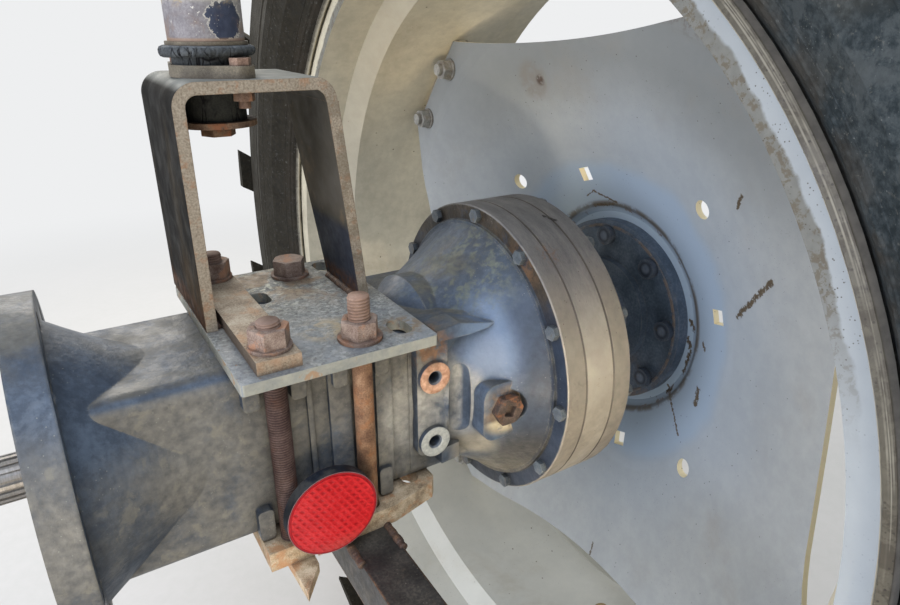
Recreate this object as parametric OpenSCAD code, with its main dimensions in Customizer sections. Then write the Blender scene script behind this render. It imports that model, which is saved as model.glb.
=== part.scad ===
// Rear axle end of a farm tractor, right-hand side, with its wheel.
// Origin: centre of the inner flange's face. +X points outboard to the wheel,
// +Y to the front of the machine, +Z up. All sizes are in millimetres.

/* [Axle housing] */
// Length of the housing from its inner face to the outer flange
housing_len = 440; // [400:5:520]
// Depth of the box section, front to rear
box_depth = 160; // [150:2:168]
// Height of the box section
box_height = 172; // [160:2:180]
// Radius of the box section's corners
box_corner = 14; // [6:1:24]
// Radius of the inner flange
inner_flange_r = 150; // [140:1:165]
// Thickness of the inner flange
inner_flange_t = 26; // [18:1:36]
// Distance of the inner flange's bolts from its edge
inner_bolt_in = 18; // [14:1:24]
// Number of bolts in the inner flange
inner_bolts = 10; // [6:1:12]
// Radius of the bolt holes in the inner flange
inner_hole_r = 8.5; // [6:0.5:10]
// Radius of the half shaft's bore in the housing
shaft_bore_r = 34; // [26:1:44]

/* [Bell] */
// Length of the bell that opens towards the outer flange
bell_len = 118; // [114:1:124]
// How far the bell's flare stays inside the outer flange's edge
bell_inset = 19.5; // [18:0.5:26]

/* [Final drive case] */
// Outer radius of the case
case_r = 168.5; // [166:0.5:180]
// Thickness of the housing's outer flange
outer_flange_t = 24; // [16:1:34]
// Width of the ring gear case
ring_w = 36.5; // [28:0.5:50]
// Width of the outer cover
cover_w = 24; // [16:1:36]
// Distance of the case bolts from the case's edge
case_bolt_in = 8.5; // [8:0.5:10]
// Number of case bolts
case_bolt_count = 12; // [8:1:16]
// Radius of a case bolt's shank
case_bolt_r = 6; // [4:0.5:6.5]
// Outer radius of the planetary gears, kept as one plain mass
gear_r = 120; // [90:1:135]
// Outer radius of the seal carrier on the cover
carrier_r = 74; // [64:1:84]
// How far the seal carrier stands out of the cover
carrier_w = 26; // [16:1:40]

/* [Housing details] */
// Height of each link boss above and below the axle's centre
boss_z = 36.5; // [28:0.5:44]
// Distance of the link bosses from the outer flange
boss_dist = 108; // [104:1:112]
// How far the link bosses stand out of the box section
boss_out = 17; // [8:1:26]
// Outer radius of a link boss
boss_r = 16.5; // [14:0.5:20]
// Radius of a link boss's threaded hole
boss_hole_r = 6; // [4:0.5:8]
// Depth of a link boss's thread below its chamfer
boss_hole_depth = 34; // [20:1:50]
// Distance of the fill plug from the outer flange
plug_dist = 42; // [38:1:46]
// How far the fill plug's seat stays inside the outer flange's edge
plug_inset = 46; // [42:1:48]
// Radius of the fill plug's thread
plug_r = 11; // [8:0.5:14]

/* [Clamp plates] */
// Distance of the outer pair of studs from the outer flange
stud_dist = 181; // [178:1:195]
// Distance between the two pairs of studs along the axle
stud_dx = 79; // [74:1:86]
// Distance between the front and rear studs
stud_dy = 182; // [182:1:196]
// Radius of a clamp stud
stud_r = 10; // [8:0.5:10]
// Thickness of the top plate
top_plate_t = 10; // [6:0.5:16]
// Depth of the top plate, front to rear
top_plate_depth = 242; // [236:1:260]
// Thickness of the lower plate
low_plate_t = 20; // [14:1:28]
// Depth of the lower plate, front to rear
low_plate_depth = 214; // [210:1:230]
// Thickness of the strap under the inner pair of nuts
strap_t = 12; // [8:0.5:16]
// Width of the strap
strap_w = 37; // [34:1:40]
// Radius of the plates' slots
slot_r = 9; // [7:0.5:10]

/* [Portal bracket] */
// Thickness of the bent flat bar
bar_t = 10; // [6:0.5:12]
// Height of the bracket above the top plate
portal_h = 211; // [190:1:240]
// Width of the bracket at its foot
portal_foot_w = 158; // [150:1:160]
// Width of the bracket at its top
portal_top_w = 136; // [128:1:144]
// Radius of the bends, outside
bend_r = 20; // [14:1:26]
// Depth of the bracket, front to rear, at its inner leg
portal_depth = 142; // [130:1:150]
// Depth of the bracket at the foot of its outer leg
portal_foot_depth = 84; // [76:1:96]

/* [Cab mount] */
// Distance of the mount's axis from the bracket's inner leg
mount_in = 46; // [44:1:50]
// How far the mount's axis lies in front of the axle's centre
mount_fwd = 45; // [38:1:50]
// Radius of the upper rubber
rubber_top_r = 40; // [34:1:44]
// Height of the upper rubber
rubber_top_h = 15; // [12:0.5:26]
// Radius of the lower rubber
rubber_low_r = 26; // [22:1:30]
// Height of the lower rubber
rubber_low_h = 36; // [28:0.5:40]
// Radius of the cab foot's tube
foot_r = 31; // [26:1:33]
// Height of the cab foot's tube
foot_h = 48; // [30:1:80]

/* [Rear beam and reflector] */
// Width of the rear beam
beam_w = 43; // [34:1:50]
// Height of the rear beam
beam_h = 50; // [34:1:70]
// How far the rear beam reaches behind the axle's centre
beam_len = 420; // [340:5:520]
// Radius of the pin hole at the rear beam's end
beam_pin_r = 13; // [8:0.5:16]
// Radius of the reflector
reflector_r = 42.5; // [30:0.5:50]
// Thickness of the reflector's black body
reflector_t = 12; // [8:0.5:18]

/* [Hub] */
// Distance from the cover's face to the wheel disc's mounting face
hub_out = 145.9; // [130:0.5:170]
// Radius of the wheel shaft
hub_shaft_r = 46; // [38:0.5:52]
// Radius of the hub flange
hub_flange_r = 120.2; // [118:0.2:128]
// Thickness of the hub flange
hub_flange_t = 15.8; // [12:0.2:22]
// Radius of the circle of wheel studs
wheel_pcr = 101.6; // [98:0.1:104]
// Number of wheel studs
wheel_stud_count = 8; // [5:1:10]
// Radius of a wheel stud
wheel_stud_r = 9; // [7:0.5:9]

/* [Wheel] */
// Thickness of the wheel disc
disc_t = 9; // [6:0.5:12]
// Radius of the disc's flat centre
disc_flat_r = 139; // [136:1:146]
// How far the disc dishes from its flat centre to the rim bolts
disc_dish = 96; // [80:1:105]
// How far each long edge of the disc stays inside the rim's well
disc_side_in = 91.6; // [84:0.2:100]
// Radius of the circle of round holes in the disc
disc_hole_pcr = 221.6; // [214:0.2:228]
// Radius of the circle of square holes in the disc
disc_square_pcr = 180; // [172:0.5:188]
// Distance from the rim bolts to each short corner edge of the disc
disc_edge = 14; // [10:0.5:16]
// Distance of the rim bolts from the rim's well
rim_bolt_in = 22.6; // [20:0.2:28]
// Angle of each rim bolt from its corner's middle
rim_bolt_angle = 7; // [6:0.5:9]
// Radius of the rim at its flanges
rim_r = 480.6; // [478:0.2:483]
// Overall width of the rim
rim_w = 331; // [320:1:345]
// How far the rim's inboard edge lies inboard of the outer flange's face
rim_in = 41; // [32:1:50]
// Depth of the rim's well below its flanges
rim_well = 53; // [46:0.5:60]
// Thickness of the rim's metal
rim_t = 7; // [5:0.5:9]

/* [Tyre] */
// Radius of the tyre at the tips of its lugs
tyre_r = 750; // [730:1:775]
// Width of the tyre at its widest
tyre_w = 392; // [375:1:410]
// Depth of the tread's lugs
lug_h = 38; // [28:1:45]
// Number of tread lugs on each side
tread_count = 20; // [16:1:22]

/* [Hidden] */
$fn = 96;

// Stations along the axle
x_flange = housing_len;
x_ring = x_flange + outer_flange_t;
x_split = x_flange - boss_dist - boss_r - 4;
x_cover = x_ring + ring_w;
x_carrier = x_cover + cover_w;
x_disc = x_carrier + hub_out;
x_hub_in = x_disc - hub_flange_t;
x_rim_in = x_flange - rim_in;
x_rim_out = x_rim_in + rim_w;
x_wheel_mid = (x_rim_in + x_rim_out) / 2;

// Clearances
run = 0.05;
hole_gap = 0.5;
eps = 1;

// Bolt circles
inner_pcr = inner_flange_r - inner_bolt_in;
case_pcr = case_r - case_bolt_in;
case_bolt_phase = -1.5;
case_hex_r = 7.7;
case_hex_h = 6;
case_nut_h = 8;
shaft_clear = 1;

// Stud places: columns are x, y
stud_x0 = x_flange - stud_dist - stud_dx;
stud_places = [for (dx = [0, stud_dx]) for (s = [-1, 1]) [stud_x0 + dx, s * stud_dy / 2]];
nut_r = 17.3;
nut_h = 16;
washer_r = 20;
washer_t = 3;
plate_top_z = box_height / 2 + top_plate_t;
low_top_z = -box_height / 2;
low_bottom_z = low_top_z - low_plate_t;
plate_in = 34;
plate_out = 62;
plate_x0 = stud_x0 - plate_in;
plate_x1 = stud_x0 + stud_dx + plate_out;

// Portal bracket and cab mount
portal_x0 = plate_x0 + 1;
portal_top_z = plate_top_z + portal_h;
portal_rear = -12;
portal_front = portal_rear + portal_depth;
mount_x = portal_x0 + mount_in;
mount_bore_r = 15;
mount_bolt_r = 10;
mount_plate_t = 10;

// Wheel
stud_phase = 50.4;
disc_phase = 50.6;
well_r = rim_r - rim_well;
rim_pcr = well_r - rim_t - rim_bolt_in;
disc_corner = rim_pcr + disc_edge;
disc_side = well_r - disc_side_in;
disc_slope = disc_dish / (rim_pcr - disc_flat_r);

// Turns a shape drawn along Z so that it lies along X; its own X becomes Y
module along_x() {
    rotate([90, 0, 90]) children();
}

// Turns a shape drawn along Z so that it points rearward, along -Y
module to_rear() {
    rotate([90, 0, 0]) children();
}

// Places copies on a circle round the axle, at an angle measured up from the rear
module on_circle(count, radius, phase) {
    for (i = [0:count - 1]) {
        a = phase + i * 360 / count;
        translate([0, -radius * cos(a), radius * sin(a)]) children();
    }
}

module hexagon(r, h) {
    cylinder(r = r, h = h, $fn = 6);
}

// A hexagon whose upper corners are turned off
module nut_body(r, h) {
    intersection() {
        hexagon(r, h);
        cylinder(r1 = r + 2 * h, r2 = 0.9 * r, h = h);
    }
}

module ring(r_out, r_in, h) {
    difference() {
        cylinder(r = r_out, h = h);
        translate([0, 0, -eps]) cylinder(r = r_in, h = h + 2 * eps);
    }
}

// A rectangle with round corners, centred
module round_rect(w, h, r) {
    square([w - 2 * r, h], center = true);
    square([w, h - 2 * r], center = true);
    for (sx = [-1, 1]) for (sy = [-1, 1])
        translate([sx * (w / 2 - r), sy * (h / 2 - r)]) circle(r = r);
}

// A solid that flares from the box section to a flange, in a hollow curve
bell_power = 1.35;
bell_neck_r = box_height / 2 - 2;
bell_mouth_r = case_r - bell_inset;
bell_steps = 12;
module flare(mouth_r, length) {
    rotate_extrude() polygon(concat(
        [[0, -length - 20], [bell_neck_r - 6, -length - 20]],
        [for (i = [0:bell_steps]) let (t = i / bell_steps)
            [bell_neck_r + (mouth_r - bell_neck_r) * pow(t, bell_power), -length * (1 - t)]],
        [[mouth_r, eps], [0, eps]]));
}

module case_bolt_holes() {
    on_circle(case_bolt_count, case_pcr, case_bolt_phase)
        along_x() translate([0, 0, x_flange - eps])
            cylinder(r = case_bolt_r + hole_gap, h = x_carrier - x_flange + 2 * eps);
}

// The casting is one piece on the machine; the bell is a node of its own so that
// collision leaves the space between the two flanges open
module axle_housing() {
    color([0.33, 0.38, 0.46])
    intersection() {
        casting();
        along_x() translate([0, 0, -eps]) cylinder(r = 2 * case_r, h = x_split + eps);
    }
}

module axle_bell() {
    color([0.33, 0.38, 0.46])
    intersection() {
        casting();
        along_x() translate([0, 0, x_split]) cylinder(r = 2 * case_r, h = x_ring - x_split + eps);
    }
}

inner_flare_len = 78;
module casting() {
    difference() {
        union() {
            along_x() cylinder(r = inner_flange_r, h = inner_flange_t);
            translate([inner_flange_t, 0, 0]) rotate([90, 0, -90])
                flare(inner_flange_r - 26, inner_flare_len);
            along_x() linear_extrude(height = x_flange - eps)
                round_rect(box_depth, box_height, box_corner);
            along_x() translate([0, 0, x_flange]) flare(bell_mouth_r, bell_len);
            // A low step where the bell meets the flange
            along_x() translate([0, 0, x_flange - lip_h]) cylinder(r = bell_mouth_r + lip_w, h = 2 * lip_h);
            along_x() translate([0, 0, x_flange]) band(case_r, outer_flange_t);
            shoulder();
            ledges();
            stud_lugs();
            mirror([0, 1, 0]) stud_lugs();
            rear_ribs();
            link_bosses();
            plug_seat();
        }
        on_circle(inner_bolts, inner_pcr, 18) along_x() translate([0, 0, -eps])
            cylinder(r = inner_hole_r, h = inner_flange_t + 4 * eps);
        along_x() translate([0, 0, -eps]) cylinder(r = shaft_bore_r, h = x_ring + 2 * eps);
        for (s = [-1, 1]) translate([boss_x, boss_face_y - eps, s * boss_z]) rotate([-90, 0, 0]) {
            cylinder(r = boss_hole_r, h = boss_hole_depth + mouth + eps);
            cylinder(r1 = boss_hole_r + mouth + eps, r2 = boss_hole_r, h = mouth + eps);
        }
        plug_seat_cut();
        boss_groove();
        // The lower plate's flat seat, where the bell begins
        translate([plate_x1 - 30, -box_depth / 2, low_bottom_z])
            cube([30 + low_out + eps, box_depth, low_plate_t]);
        case_bolt_holes();
    }
}

lip_h = 3;
lip_w = 1.5;
edge = 1.2;
// A turned band of the final drive with its outer edges broken
module band(r, w) {
    cylinder(r1 = r - edge, r2 = r, h = edge);
    translate([0, 0, edge]) cylinder(r = r, h = w - 2 * edge);
    translate([0, 0, w - edge]) cylinder(r1 = r, r2 = r - edge, h = edge);
}

// The round shoulder on top of the casting, which rises from the box section to the bell
shoulder_r = 76;
shoulder_rise = 18;
shoulder_z = box_height / 2 + shoulder_rise - shoulder_r;
module shoulder() {
    translate([x_flange - bell_len + 2, 0, shoulder_z]) along_x() {
        cylinder(r1 = shoulder_r - shoulder_rise - 1, r2 = shoulder_r, h = 26);
        translate([0, 0, 26]) cylinder(r = shoulder_r, h = bell_len - 64);
    }
}

// A slim blade from the box section's upper edge into the bell, and a short one below
blade_z = box_height / 2 - 16;
module ledges() {
    y0 = -box_depth / 2;
    translate([boss_x, y0 + 12, blade_z]) to_rear() linear_extrude(height = 28)
        polygon([[4, 4], [2, 15], [28, 18], [68, 9], [62, 5], [36, 3]]);
    translate([boss_x, 0, -blade_z]) linear_extrude(height = 18)
        polygon([[8, y0 + 12], [10, y0 - 12], [32, y0 - 10], [42, y0 + 12]]);
}

// Cast lugs beside each stud, under the top plate and above the lower one
lug_w = 14;
lug_out = 10;
lug_tall = 32;
lug_dx = 20.5;
module stud_lugs() {
    for (dx = [0, stud_dx]) for (side = [-1, 1]) for (top = [0, 1])
        translate([stud_x0 + dx + side * lug_dx, -box_depth / 2 + eps,
            top * (box_height - lug_tall - 4) - (box_height - lug_tall - 4) / 2])
            to_rear() linear_extrude(height = lug_out + eps) round_rect(lug_w, lug_tall, 4);
}

// Upright ribs on the rear wall: columns are distance from the outer flange,
// width, height and how far they stand out
ribs = [[229, 5, 140, 3.5], [201, 21, 132, 4.5], [157, 17, 140, 4.5]];
module rear_ribs() {
    for (r = ribs) translate([x_flange - r[0], -box_depth / 2 + eps, 0])
        to_rear() linear_extrude(height = r[3] + eps) round_rect(r[1], r[2], 2);
}

// Two link bosses on an upright pad
boss_x = x_flange - boss_dist;
boss_face_y = -box_depth / 2 - boss_out;
pad_back = 6;
mouth = 2.5;
module link_bosses() {
    translate([boss_x, -box_depth / 2 + eps, 12]) to_rear()
        linear_extrude(height = boss_out - pad_back + eps)
            round_rect(2 * boss_r + 1, 2 * (boss_z + boss_r) + 24, 8);
    for (s = [-1, 1]) translate([boss_x, -box_depth / 2 + eps, s * boss_z])
        to_rear() cylinder(r = boss_r, h = boss_out + eps);
}

// A cast hollow with round ends between the bosses' pad and the bell
groove_r = 11;
groove_h = 62;
module boss_groove() {
    translate([boss_x + boss_r + groove_r - 0.5, -box_depth / 2 - 19, 4 - groove_h / 2]) {
        cylinder(r = groove_r, h = groove_h);
        for (z = [0, groove_h]) translate([0, 0, z]) sphere(r = groove_r);
    }
}

// The fill plug's seat: an upright pad with a turned spot face
plug_x = x_flange - plug_dist;
plug_z = -4;
seat_y = plug_inset - case_r;
seat_w = 42;
seat_tall = 64;
module plug_seat() {
    translate([plug_x - 5, seat_y + 34, plug_z - 3])
        to_rear() linear_extrude(height = 34) round_rect(seat_w, seat_tall, 15);
}

module plug_seat_cut() {
    translate([plug_x, seat_y, plug_z]) {
        rotate([-90, 0, 0]) cylinder(r = plug_r, h = 22);
        to_rear() cylinder(r = plug_r + 9, h = 30);
    }
}

module ring_gear_case() {
    color([0.42, 0.38, 0.34])
    difference() {
        along_x() translate([0, 0, x_ring]) band(case_r, ring_w);
        along_x() translate([0, 0, x_ring - eps]) cylinder(r = gear_r, h = ring_w + 2 * eps);
        case_bolt_holes();
    }
}

module outer_cover() {
    color([0.43, 0.39, 0.35])
    difference() {
        along_x() translate([0, 0, x_cover]) band(case_r, cover_w);
        along_x() translate([0, 0, x_cover - eps]) cylinder(r = hub_shaft_r + run, h = cover_w + 2 * eps);
        case_bolt_holes();
    }
}

// Planetary gears as one plain mass
module gear_block() {
    color([0.3, 0.3, 0.3])
    difference() {
        along_x() translate([0, 0, x_ring]) cylinder(r = gear_r, h = ring_w);
        along_x() translate([0, 0, x_ring - eps])
            cylinder(r = half_shaft_r + run, h = 12 + eps);
    }
}

module case_bolts() {
    color([0.45, 0.4, 0.34])
    on_circle(case_bolt_count, case_pcr, case_bolt_phase) along_x() {
        translate([0, 0, x_flange - case_hex_h]) hexagon(case_hex_r, case_hex_h);
        translate([0, 0, x_flange]) cylinder(r = case_bolt_r, h = x_carrier - x_flange + case_nut_h);
        translate([0, 0, x_carrier]) hexagon(case_hex_r, case_nut_h - 2);
    }
}

socket = 12;
module fill_plug() {
    color([0.5, 0.3, 0.16])
    translate([plug_x, seat_y, plug_z]) {
        rotate([-90, 0, 0]) cylinder(r = plug_r, h = 18);
        difference() {
            to_rear() nut_body(plug_r + 6, 9);
            rotate([0, 20, 0]) translate([-socket / 2, -10, -socket / 2]) cube([socket, 7, socket]);
        }
    }
}

module seal_carrier() {
    color([0.2, 0.2, 0.22])
    along_x() translate([0, 0, x_carrier]) ring(carrier_r, hub_shaft_r + run, carrier_w);
}

module shaft_seal() {
    color([0.12, 0.12, 0.12])
    along_x() translate([0, 0, 12]) ring(shaft_bore_r, half_shaft_r + run, 14);
}

module stud_holes(z0, h) {
    for (p = stud_places) translate([p[0], p[1], z0 - eps])
        cylinder(r = stud_r + hole_gap, h = h + 2 * eps);
}

// Slots in the plates: columns are distance inside the outer edge, y
top_slots = [[22, -88], [22, 99], [109.5, 42]];
module top_clamp_plate() {
    color([0.42, 0.43, 0.42])
    difference() {
        translate([(plate_x0 + plate_x1) / 2, 0, plate_top_z - top_plate_t])
            linear_extrude(height = top_plate_t) round_rect(plate_x1 - plate_x0, top_plate_depth, 3);
        stud_holes(plate_top_z - top_plate_t, top_plate_t);
        for (p = top_slots) plate_slot(plate_x1 - p[0], p[1], plate_top_z - top_plate_t, top_plate_t);
    }
}

// A round-ended slot through a plate
slot_len = 13;
module plate_slot(x, y, z0, h) {
    translate([x, y, z0 - eps]) linear_extrude(height = h + 2 * eps) {
        square([2 * slot_r, slot_len], center = true);
        for (s = [-1, 1]) translate([0, s * slot_len / 2]) circle(r = slot_r);
    }
}

strap_end = 22;
module strap_plate() {
    color([0.4, 0.3, 0.22])
    difference() {
        translate([stud_x0 - strap_w / 2, -stud_dy / 2 - strap_end, plate_top_z])
            cube([strap_w, stud_dy + 2 * strap_end, strap_t]);
        stud_holes(plate_top_z, strap_t);
    }
}

// Height of the seat under each nut: the strap lifts the inner pair
function seat_z(i) = plate_top_z + (i < 2 ? strap_t : 0);
// Stud ends above their nuts, in the order of stud_places; the last is a bolt's head
stud_ends = [5, 8, 22, -4];

module clamp_studs() {
    color([0.4, 0.25, 0.16])
    for (i = [0:3])
        translate([stud_places[i][0], stud_places[i][1], low_bottom_z])
            cylinder(r = stud_r, h = seat_z(i) + washer_t + nut_h + stud_ends[i] - low_bottom_z);
}

module clamp_nuts() {
    color([0.42, 0.27, 0.17])
    for (i = [0:3])
        translate([stud_places[i][0], stud_places[i][1], seat_z(i) + washer_t])
            difference() {
                nut_body(nut_r, nut_h);
                translate([0, 0, -eps])
                    cylinder(r = stud_r, h = nut_h + min(stud_ends[i], eps) + eps);
            }
}

module clamp_washers() {
    color([0.4, 0.3, 0.2])
    for (i = [0:3])
        translate([stud_places[i][0], stud_places[i][1], seat_z(i)])
            ring(i < 2 ? strap_w / 2 - 0.5 : washer_r, stud_r + run, washer_t);
}

// A pointed ear is welded under the plate's rear edge
ear_t = 10;
ear_reach = 40;
ear_x = plate_x0 + 24;
ear_w = 24;
ear_back = 50;
module lower_clamp_plate() {
    color([0.45, 0.38, 0.3]) {
        low_plate();
        translate([0, -low_plate_depth / 2, low_bottom_z - ear_t]) linear_extrude(height = ear_t)
            polygon([[ear_x, ear_back], [ear_x + 3, -ear_reach],
                [ear_x + ear_w, -12], [ear_x + ear_w + 2, ear_back]]);
    }
}

low_in = 8;
low_out = 14;
module low_plate() {
    y = low_plate_depth / 2;
    difference() {
        translate([0, 0, low_bottom_z]) linear_extrude(height = low_plate_t)
            polygon([
                [plate_x0 + low_in, -y], [plate_x1 - 42, -y], [plate_x1 + 8, -y + 13],
                [plate_x1 + low_out, -y + 21], [plate_x1 + low_out, y], [plate_x0 + low_in, y]]);
        for (p = stud_places) translate([p[0], p[1], low_bottom_z - eps])
            cylinder(r = stud_r, h = low_plate_t + 2 * eps);
        plate_slot(plate_x1 - 9, -y + 38, low_bottom_z, low_plate_t);
    }
}

// Outline of the bent bar in the plane across the machine
module portal_outline() {
    x_out = portal_x0 + portal_foot_w;
    lean = portal_foot_w - portal_top_w;
    difference() {
        portal_solid(portal_x0, x_out, lean, portal_h, bend_r);
        translate([0, -eps, 0])
            portal_solid(portal_x0 + bar_t, x_out - bar_t, lean, portal_h - bar_t + eps, bend_r - bar_t);
    }
}

module portal_solid(x0, x1, lean, h, r) {
    difference() {
        polygon([[x0, 0], [x0, h], [x1 - lean, h], [x1, 0]]);
        difference() {
            translate([x0 - eps, h - r]) square([r + eps, r + eps]);
            translate([x0 + r, h - r]) circle(r = r);
        }
        difference() {
            translate([x1 - lean - r, h - r]) square([2 * r, r + eps]);
            translate([x1 - lean - r, h - r]) circle(r = r + lean * r / h / 2);
        }
    }
}

module portal_bracket() {
    color([0.32, 0.31, 0.31])
    difference() {
        translate([0, portal_front, plate_top_z]) to_rear()
            linear_extrude(height = portal_depth) portal_outline();
        portal_front_cut();
        translate([mount_x, mount_fwd, portal_top_z - bar_t - eps])
            cylinder(r = rubber_low_r + 1, h = bar_t + 2 * eps);
        for (s = [-1, 1])
            translate([mount_x + s * mount_plate_dx, mount_fwd - s * mount_plate_dy,
                portal_top_z - bar_t - eps])
                cylinder(r = mount_screw_r + hole_gap, h = bar_t + 2 * eps);
    }
}

// The bar narrows along its top and down its outer leg
module portal_front_cut() {
    x_out = portal_x0 + portal_foot_w;
    x_bend = portal_x0 + portal_top_w;
    y_foot = portal_rear + portal_foot_depth;
    y_bend = (portal_front + y_foot) / 2;
    y_far = portal_front + eps;
    translate([0, 0, plate_top_z - eps]) linear_extrude(height = portal_h + 2 * eps)
        polygon([[portal_x0 + bar_t, portal_front], [x_bend, y_bend], [x_out + eps, y_bend],
            [x_out + eps, y_far], [portal_x0 + bar_t, y_far]]);
    translate([x_bend - bar_t, 0, plate_top_z]) along_x()
        linear_extrude(height = x_out - x_bend + bar_t + eps)
            polygon([[y_foot, -eps], [y_bend, portal_h + eps], [y_far, portal_h + eps], [y_far, -eps]]);
}

// The mount's oval plate with a screw at each end
mount_plate_dx = 16;
mount_plate_dy = 37;
mount_plate_r = 33;
mount_screw_r = 5;
mount_hex_r = 9;
mount_hex_h = 6;
mount_nut_h = 8;
module mount_flange_plate() {
    color([0.25, 0.24, 0.24])
    translate([mount_x, mount_fwd, portal_top_z]) difference() {
        hull() {
            cylinder(r = mount_plate_r, h = mount_plate_t, $fn = 48);
            for (s = [-1, 1])
                translate([s * mount_plate_dx, -s * mount_plate_dy, 0])
                    cylinder(r = 11, h = mount_plate_t, $fn = 32);
        }
        translate([0, 0, -eps]) cylinder(r = mount_bore_r, h = mount_plate_t + 2 * eps);
        for (s = [-1, 1])
            translate([s * mount_plate_dx, -s * mount_plate_dy, -eps])
                cylinder(r = mount_screw_r + hole_gap, h = mount_plate_t + 2 * eps);
    }
}

module mount_flange_bolts() {
    color([0.3, 0.27, 0.25])
    for (s = [-1, 1])
        translate([mount_x + s * mount_plate_dx, mount_fwd - s * mount_plate_dy, portal_top_z]) {
            translate([0, 0, mount_plate_t]) hexagon(mount_hex_r, mount_hex_h);
            translate([0, 0, -bar_t - mount_nut_h - bolt_end])
                cylinder(r = mount_screw_r, h = mount_plate_t + bar_t + mount_nut_h + bolt_end);
            translate([0, 0, -bar_t - mount_nut_h]) hexagon(mount_hex_r, mount_nut_h);
        }
}

// The upper rubber's wide part clears the heads of the plate's screws
rubber_lift = mount_hex_h + 0.4;
module mount_rubber_upper() {
    color([0.13, 0.13, 0.15])
    translate([mount_x, mount_fwd, portal_top_z + mount_plate_t]) difference() {
        union() {
            cylinder(r = mount_plate_r - 3, h = rubber_top_h);
            translate([0, 0, rubber_lift]) cylinder(r = rubber_top_r, h = rubber_top_h - rubber_lift);
        }
        translate([0, 0, -eps]) cylinder(r = mount_bolt_r, h = rubber_top_h + 2 * eps);
    }
}

module mount_rubber_lower() {
    color([0.12, 0.12, 0.13])
    translate([mount_x, mount_fwd, portal_top_z - rubber_low_h])
        ring(rubber_low_r, mount_bolt_r, rubber_low_h);
}

z_top_washer = portal_top_z + mount_plate_t + rubber_top_h;
module mount_top_washer() {
    color([0.5, 0.48, 0.42])
    translate([mount_x, mount_fwd, z_top_washer]) ring(33.5, mount_bolt_r, washer_t);
}

snub_r = 34;
snub_t = 5;
z_snub = portal_top_z - rubber_low_h - snub_t;
module mount_snub_washer() {
    color([0.35, 0.2, 0.15])
    translate([mount_x, mount_fwd, z_snub]) ring(snub_r, mount_bolt_r, snub_t);
}

foot_floor = 22;
foot_wall = 5;
mount_head_h = 9;
module mount_bolt() {
    color([0.35, 0.25, 0.2])
    translate([mount_x, mount_fwd, 0]) {
        translate([0, 0, z_snub - mount_head_h]) hexagon(15, mount_head_h);
        translate([0, 0, z_snub]) cylinder(r = mount_bolt_r, h = z_top_washer + foot_floor - 2 - z_snub);
    }
}

// The cab's foot: a tube closed by a thick floor, which the mount's bolt holds
module cab_foot() {
    color([0.5, 0.47, 0.5])
    translate([mount_x, mount_fwd, z_top_washer + washer_t])
        difference() {
            cylinder(r = foot_r, h = foot_h);
            translate([0, 0, -eps]) cylinder(r = mount_bolt_r + 0.2, h = foot_floor + eps);
            translate([0, 0, foot_floor]) cylinder(r = foot_r - foot_wall, h = foot_h);
        }
}

// Reflector on its small bracket
reflector_x = stud_x0 + 31;
reflector_z = -54;
lens_t = 4;
bracket_t = 3;
bracket_w = 28;
y_bracket = -low_plate_depth / 2 - bracket_t;
module reflector_body() {
    color([0.06, 0.06, 0.07])
    translate([reflector_x, y_bracket, reflector_z]) to_rear() difference() {
        cylinder(r = reflector_r, h = reflector_t);
        translate([0, 0, reflector_t - lens_t + 1]) cylinder(r = reflector_r - 3, h = lens_t);
    }
}

module reflector_lens() {
    color([0.75, 0.1, 0.12])
    translate([reflector_x, y_bracket - reflector_t + lens_t - 1, reflector_z])
        to_rear() cylinder(r = reflector_r - 3, h = lens_t);
}

module reflector_bracket() {
    color([0.4, 0.36, 0.3])
    translate([reflector_x - bracket_w / 2, y_bracket, low_bottom_z])
        cube([bracket_w, bracket_t, reflector_z + 16 - low_bottom_z]);
}

beam_x = stud_x0 + stud_dx - 11;
pin_in = 34;
module rear_beam() {
    color([0.1, 0.1, 0.12])
    difference() {
        translate([beam_x - beam_w / 2, -beam_len, low_bottom_z - beam_h])
            cube([beam_w, beam_len + low_plate_depth / 2, beam_h]);
        translate([beam_x, -beam_len + pin_in, low_bottom_z - beam_h - eps])
            cylinder(r = beam_pin_r, h = beam_h + 2 * eps);
    }
}

// The wheel shaft with its flange, a low ridge near the flange's edge, and the
// spigot that centres the wheel disc
hub_centre_r = 71;
hub_centre_h = 10;
ridge_h = 1.5;
spigot_r = 60;
module hub_shaft() {
    color([0.13, 0.14, 0.2])
    difference() {
        along_x() {
            translate([0, 0, x_cover + shaft_clear])
                cylinder(r = hub_shaft_r, h = x_hub_in - x_cover);
            translate([0, 0, x_hub_in - hub_centre_h]) cylinder(r = hub_centre_r, h = hub_centre_h + eps);
            translate([0, 0, x_hub_in]) cylinder(r = hub_flange_r, h = hub_flange_t);
            translate([0, 0, x_hub_in - ridge_h])
                ring(hub_flange_r - 6, hub_flange_r - 8.5, ridge_h + eps);
            translate([0, 0, x_disc]) cylinder(r = spigot_r, h = 22);
        }
        on_circle(wheel_stud_count, wheel_pcr, stud_phase) along_x() {
            translate([0, 0, x_hub_in - eps]) cylinder(r = wheel_stud_r, h = hub_flange_t + 2 * eps);
            translate([0, 0, x_hub_in - ridge_h - eps])
                cylinder(r = stud_head_r + hole_gap, h = ridge_h + eps);
        }
    }
}

stud_head_r = wheel_stud_r + 3;
stud_head_h = 9;
module wheel_studs() {
    color([0.2, 0.21, 0.27])
    on_circle(wheel_stud_count, wheel_pcr, stud_phase) along_x() {
        translate([0, 0, x_hub_in - stud_head_h]) cylinder(r = stud_head_r, h = stud_head_h);
        translate([0, 0, x_hub_in])
            cylinder(r = wheel_stud_r, h = hub_flange_t + disc_t + wheel_nut_h + 8);
    }
}

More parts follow.
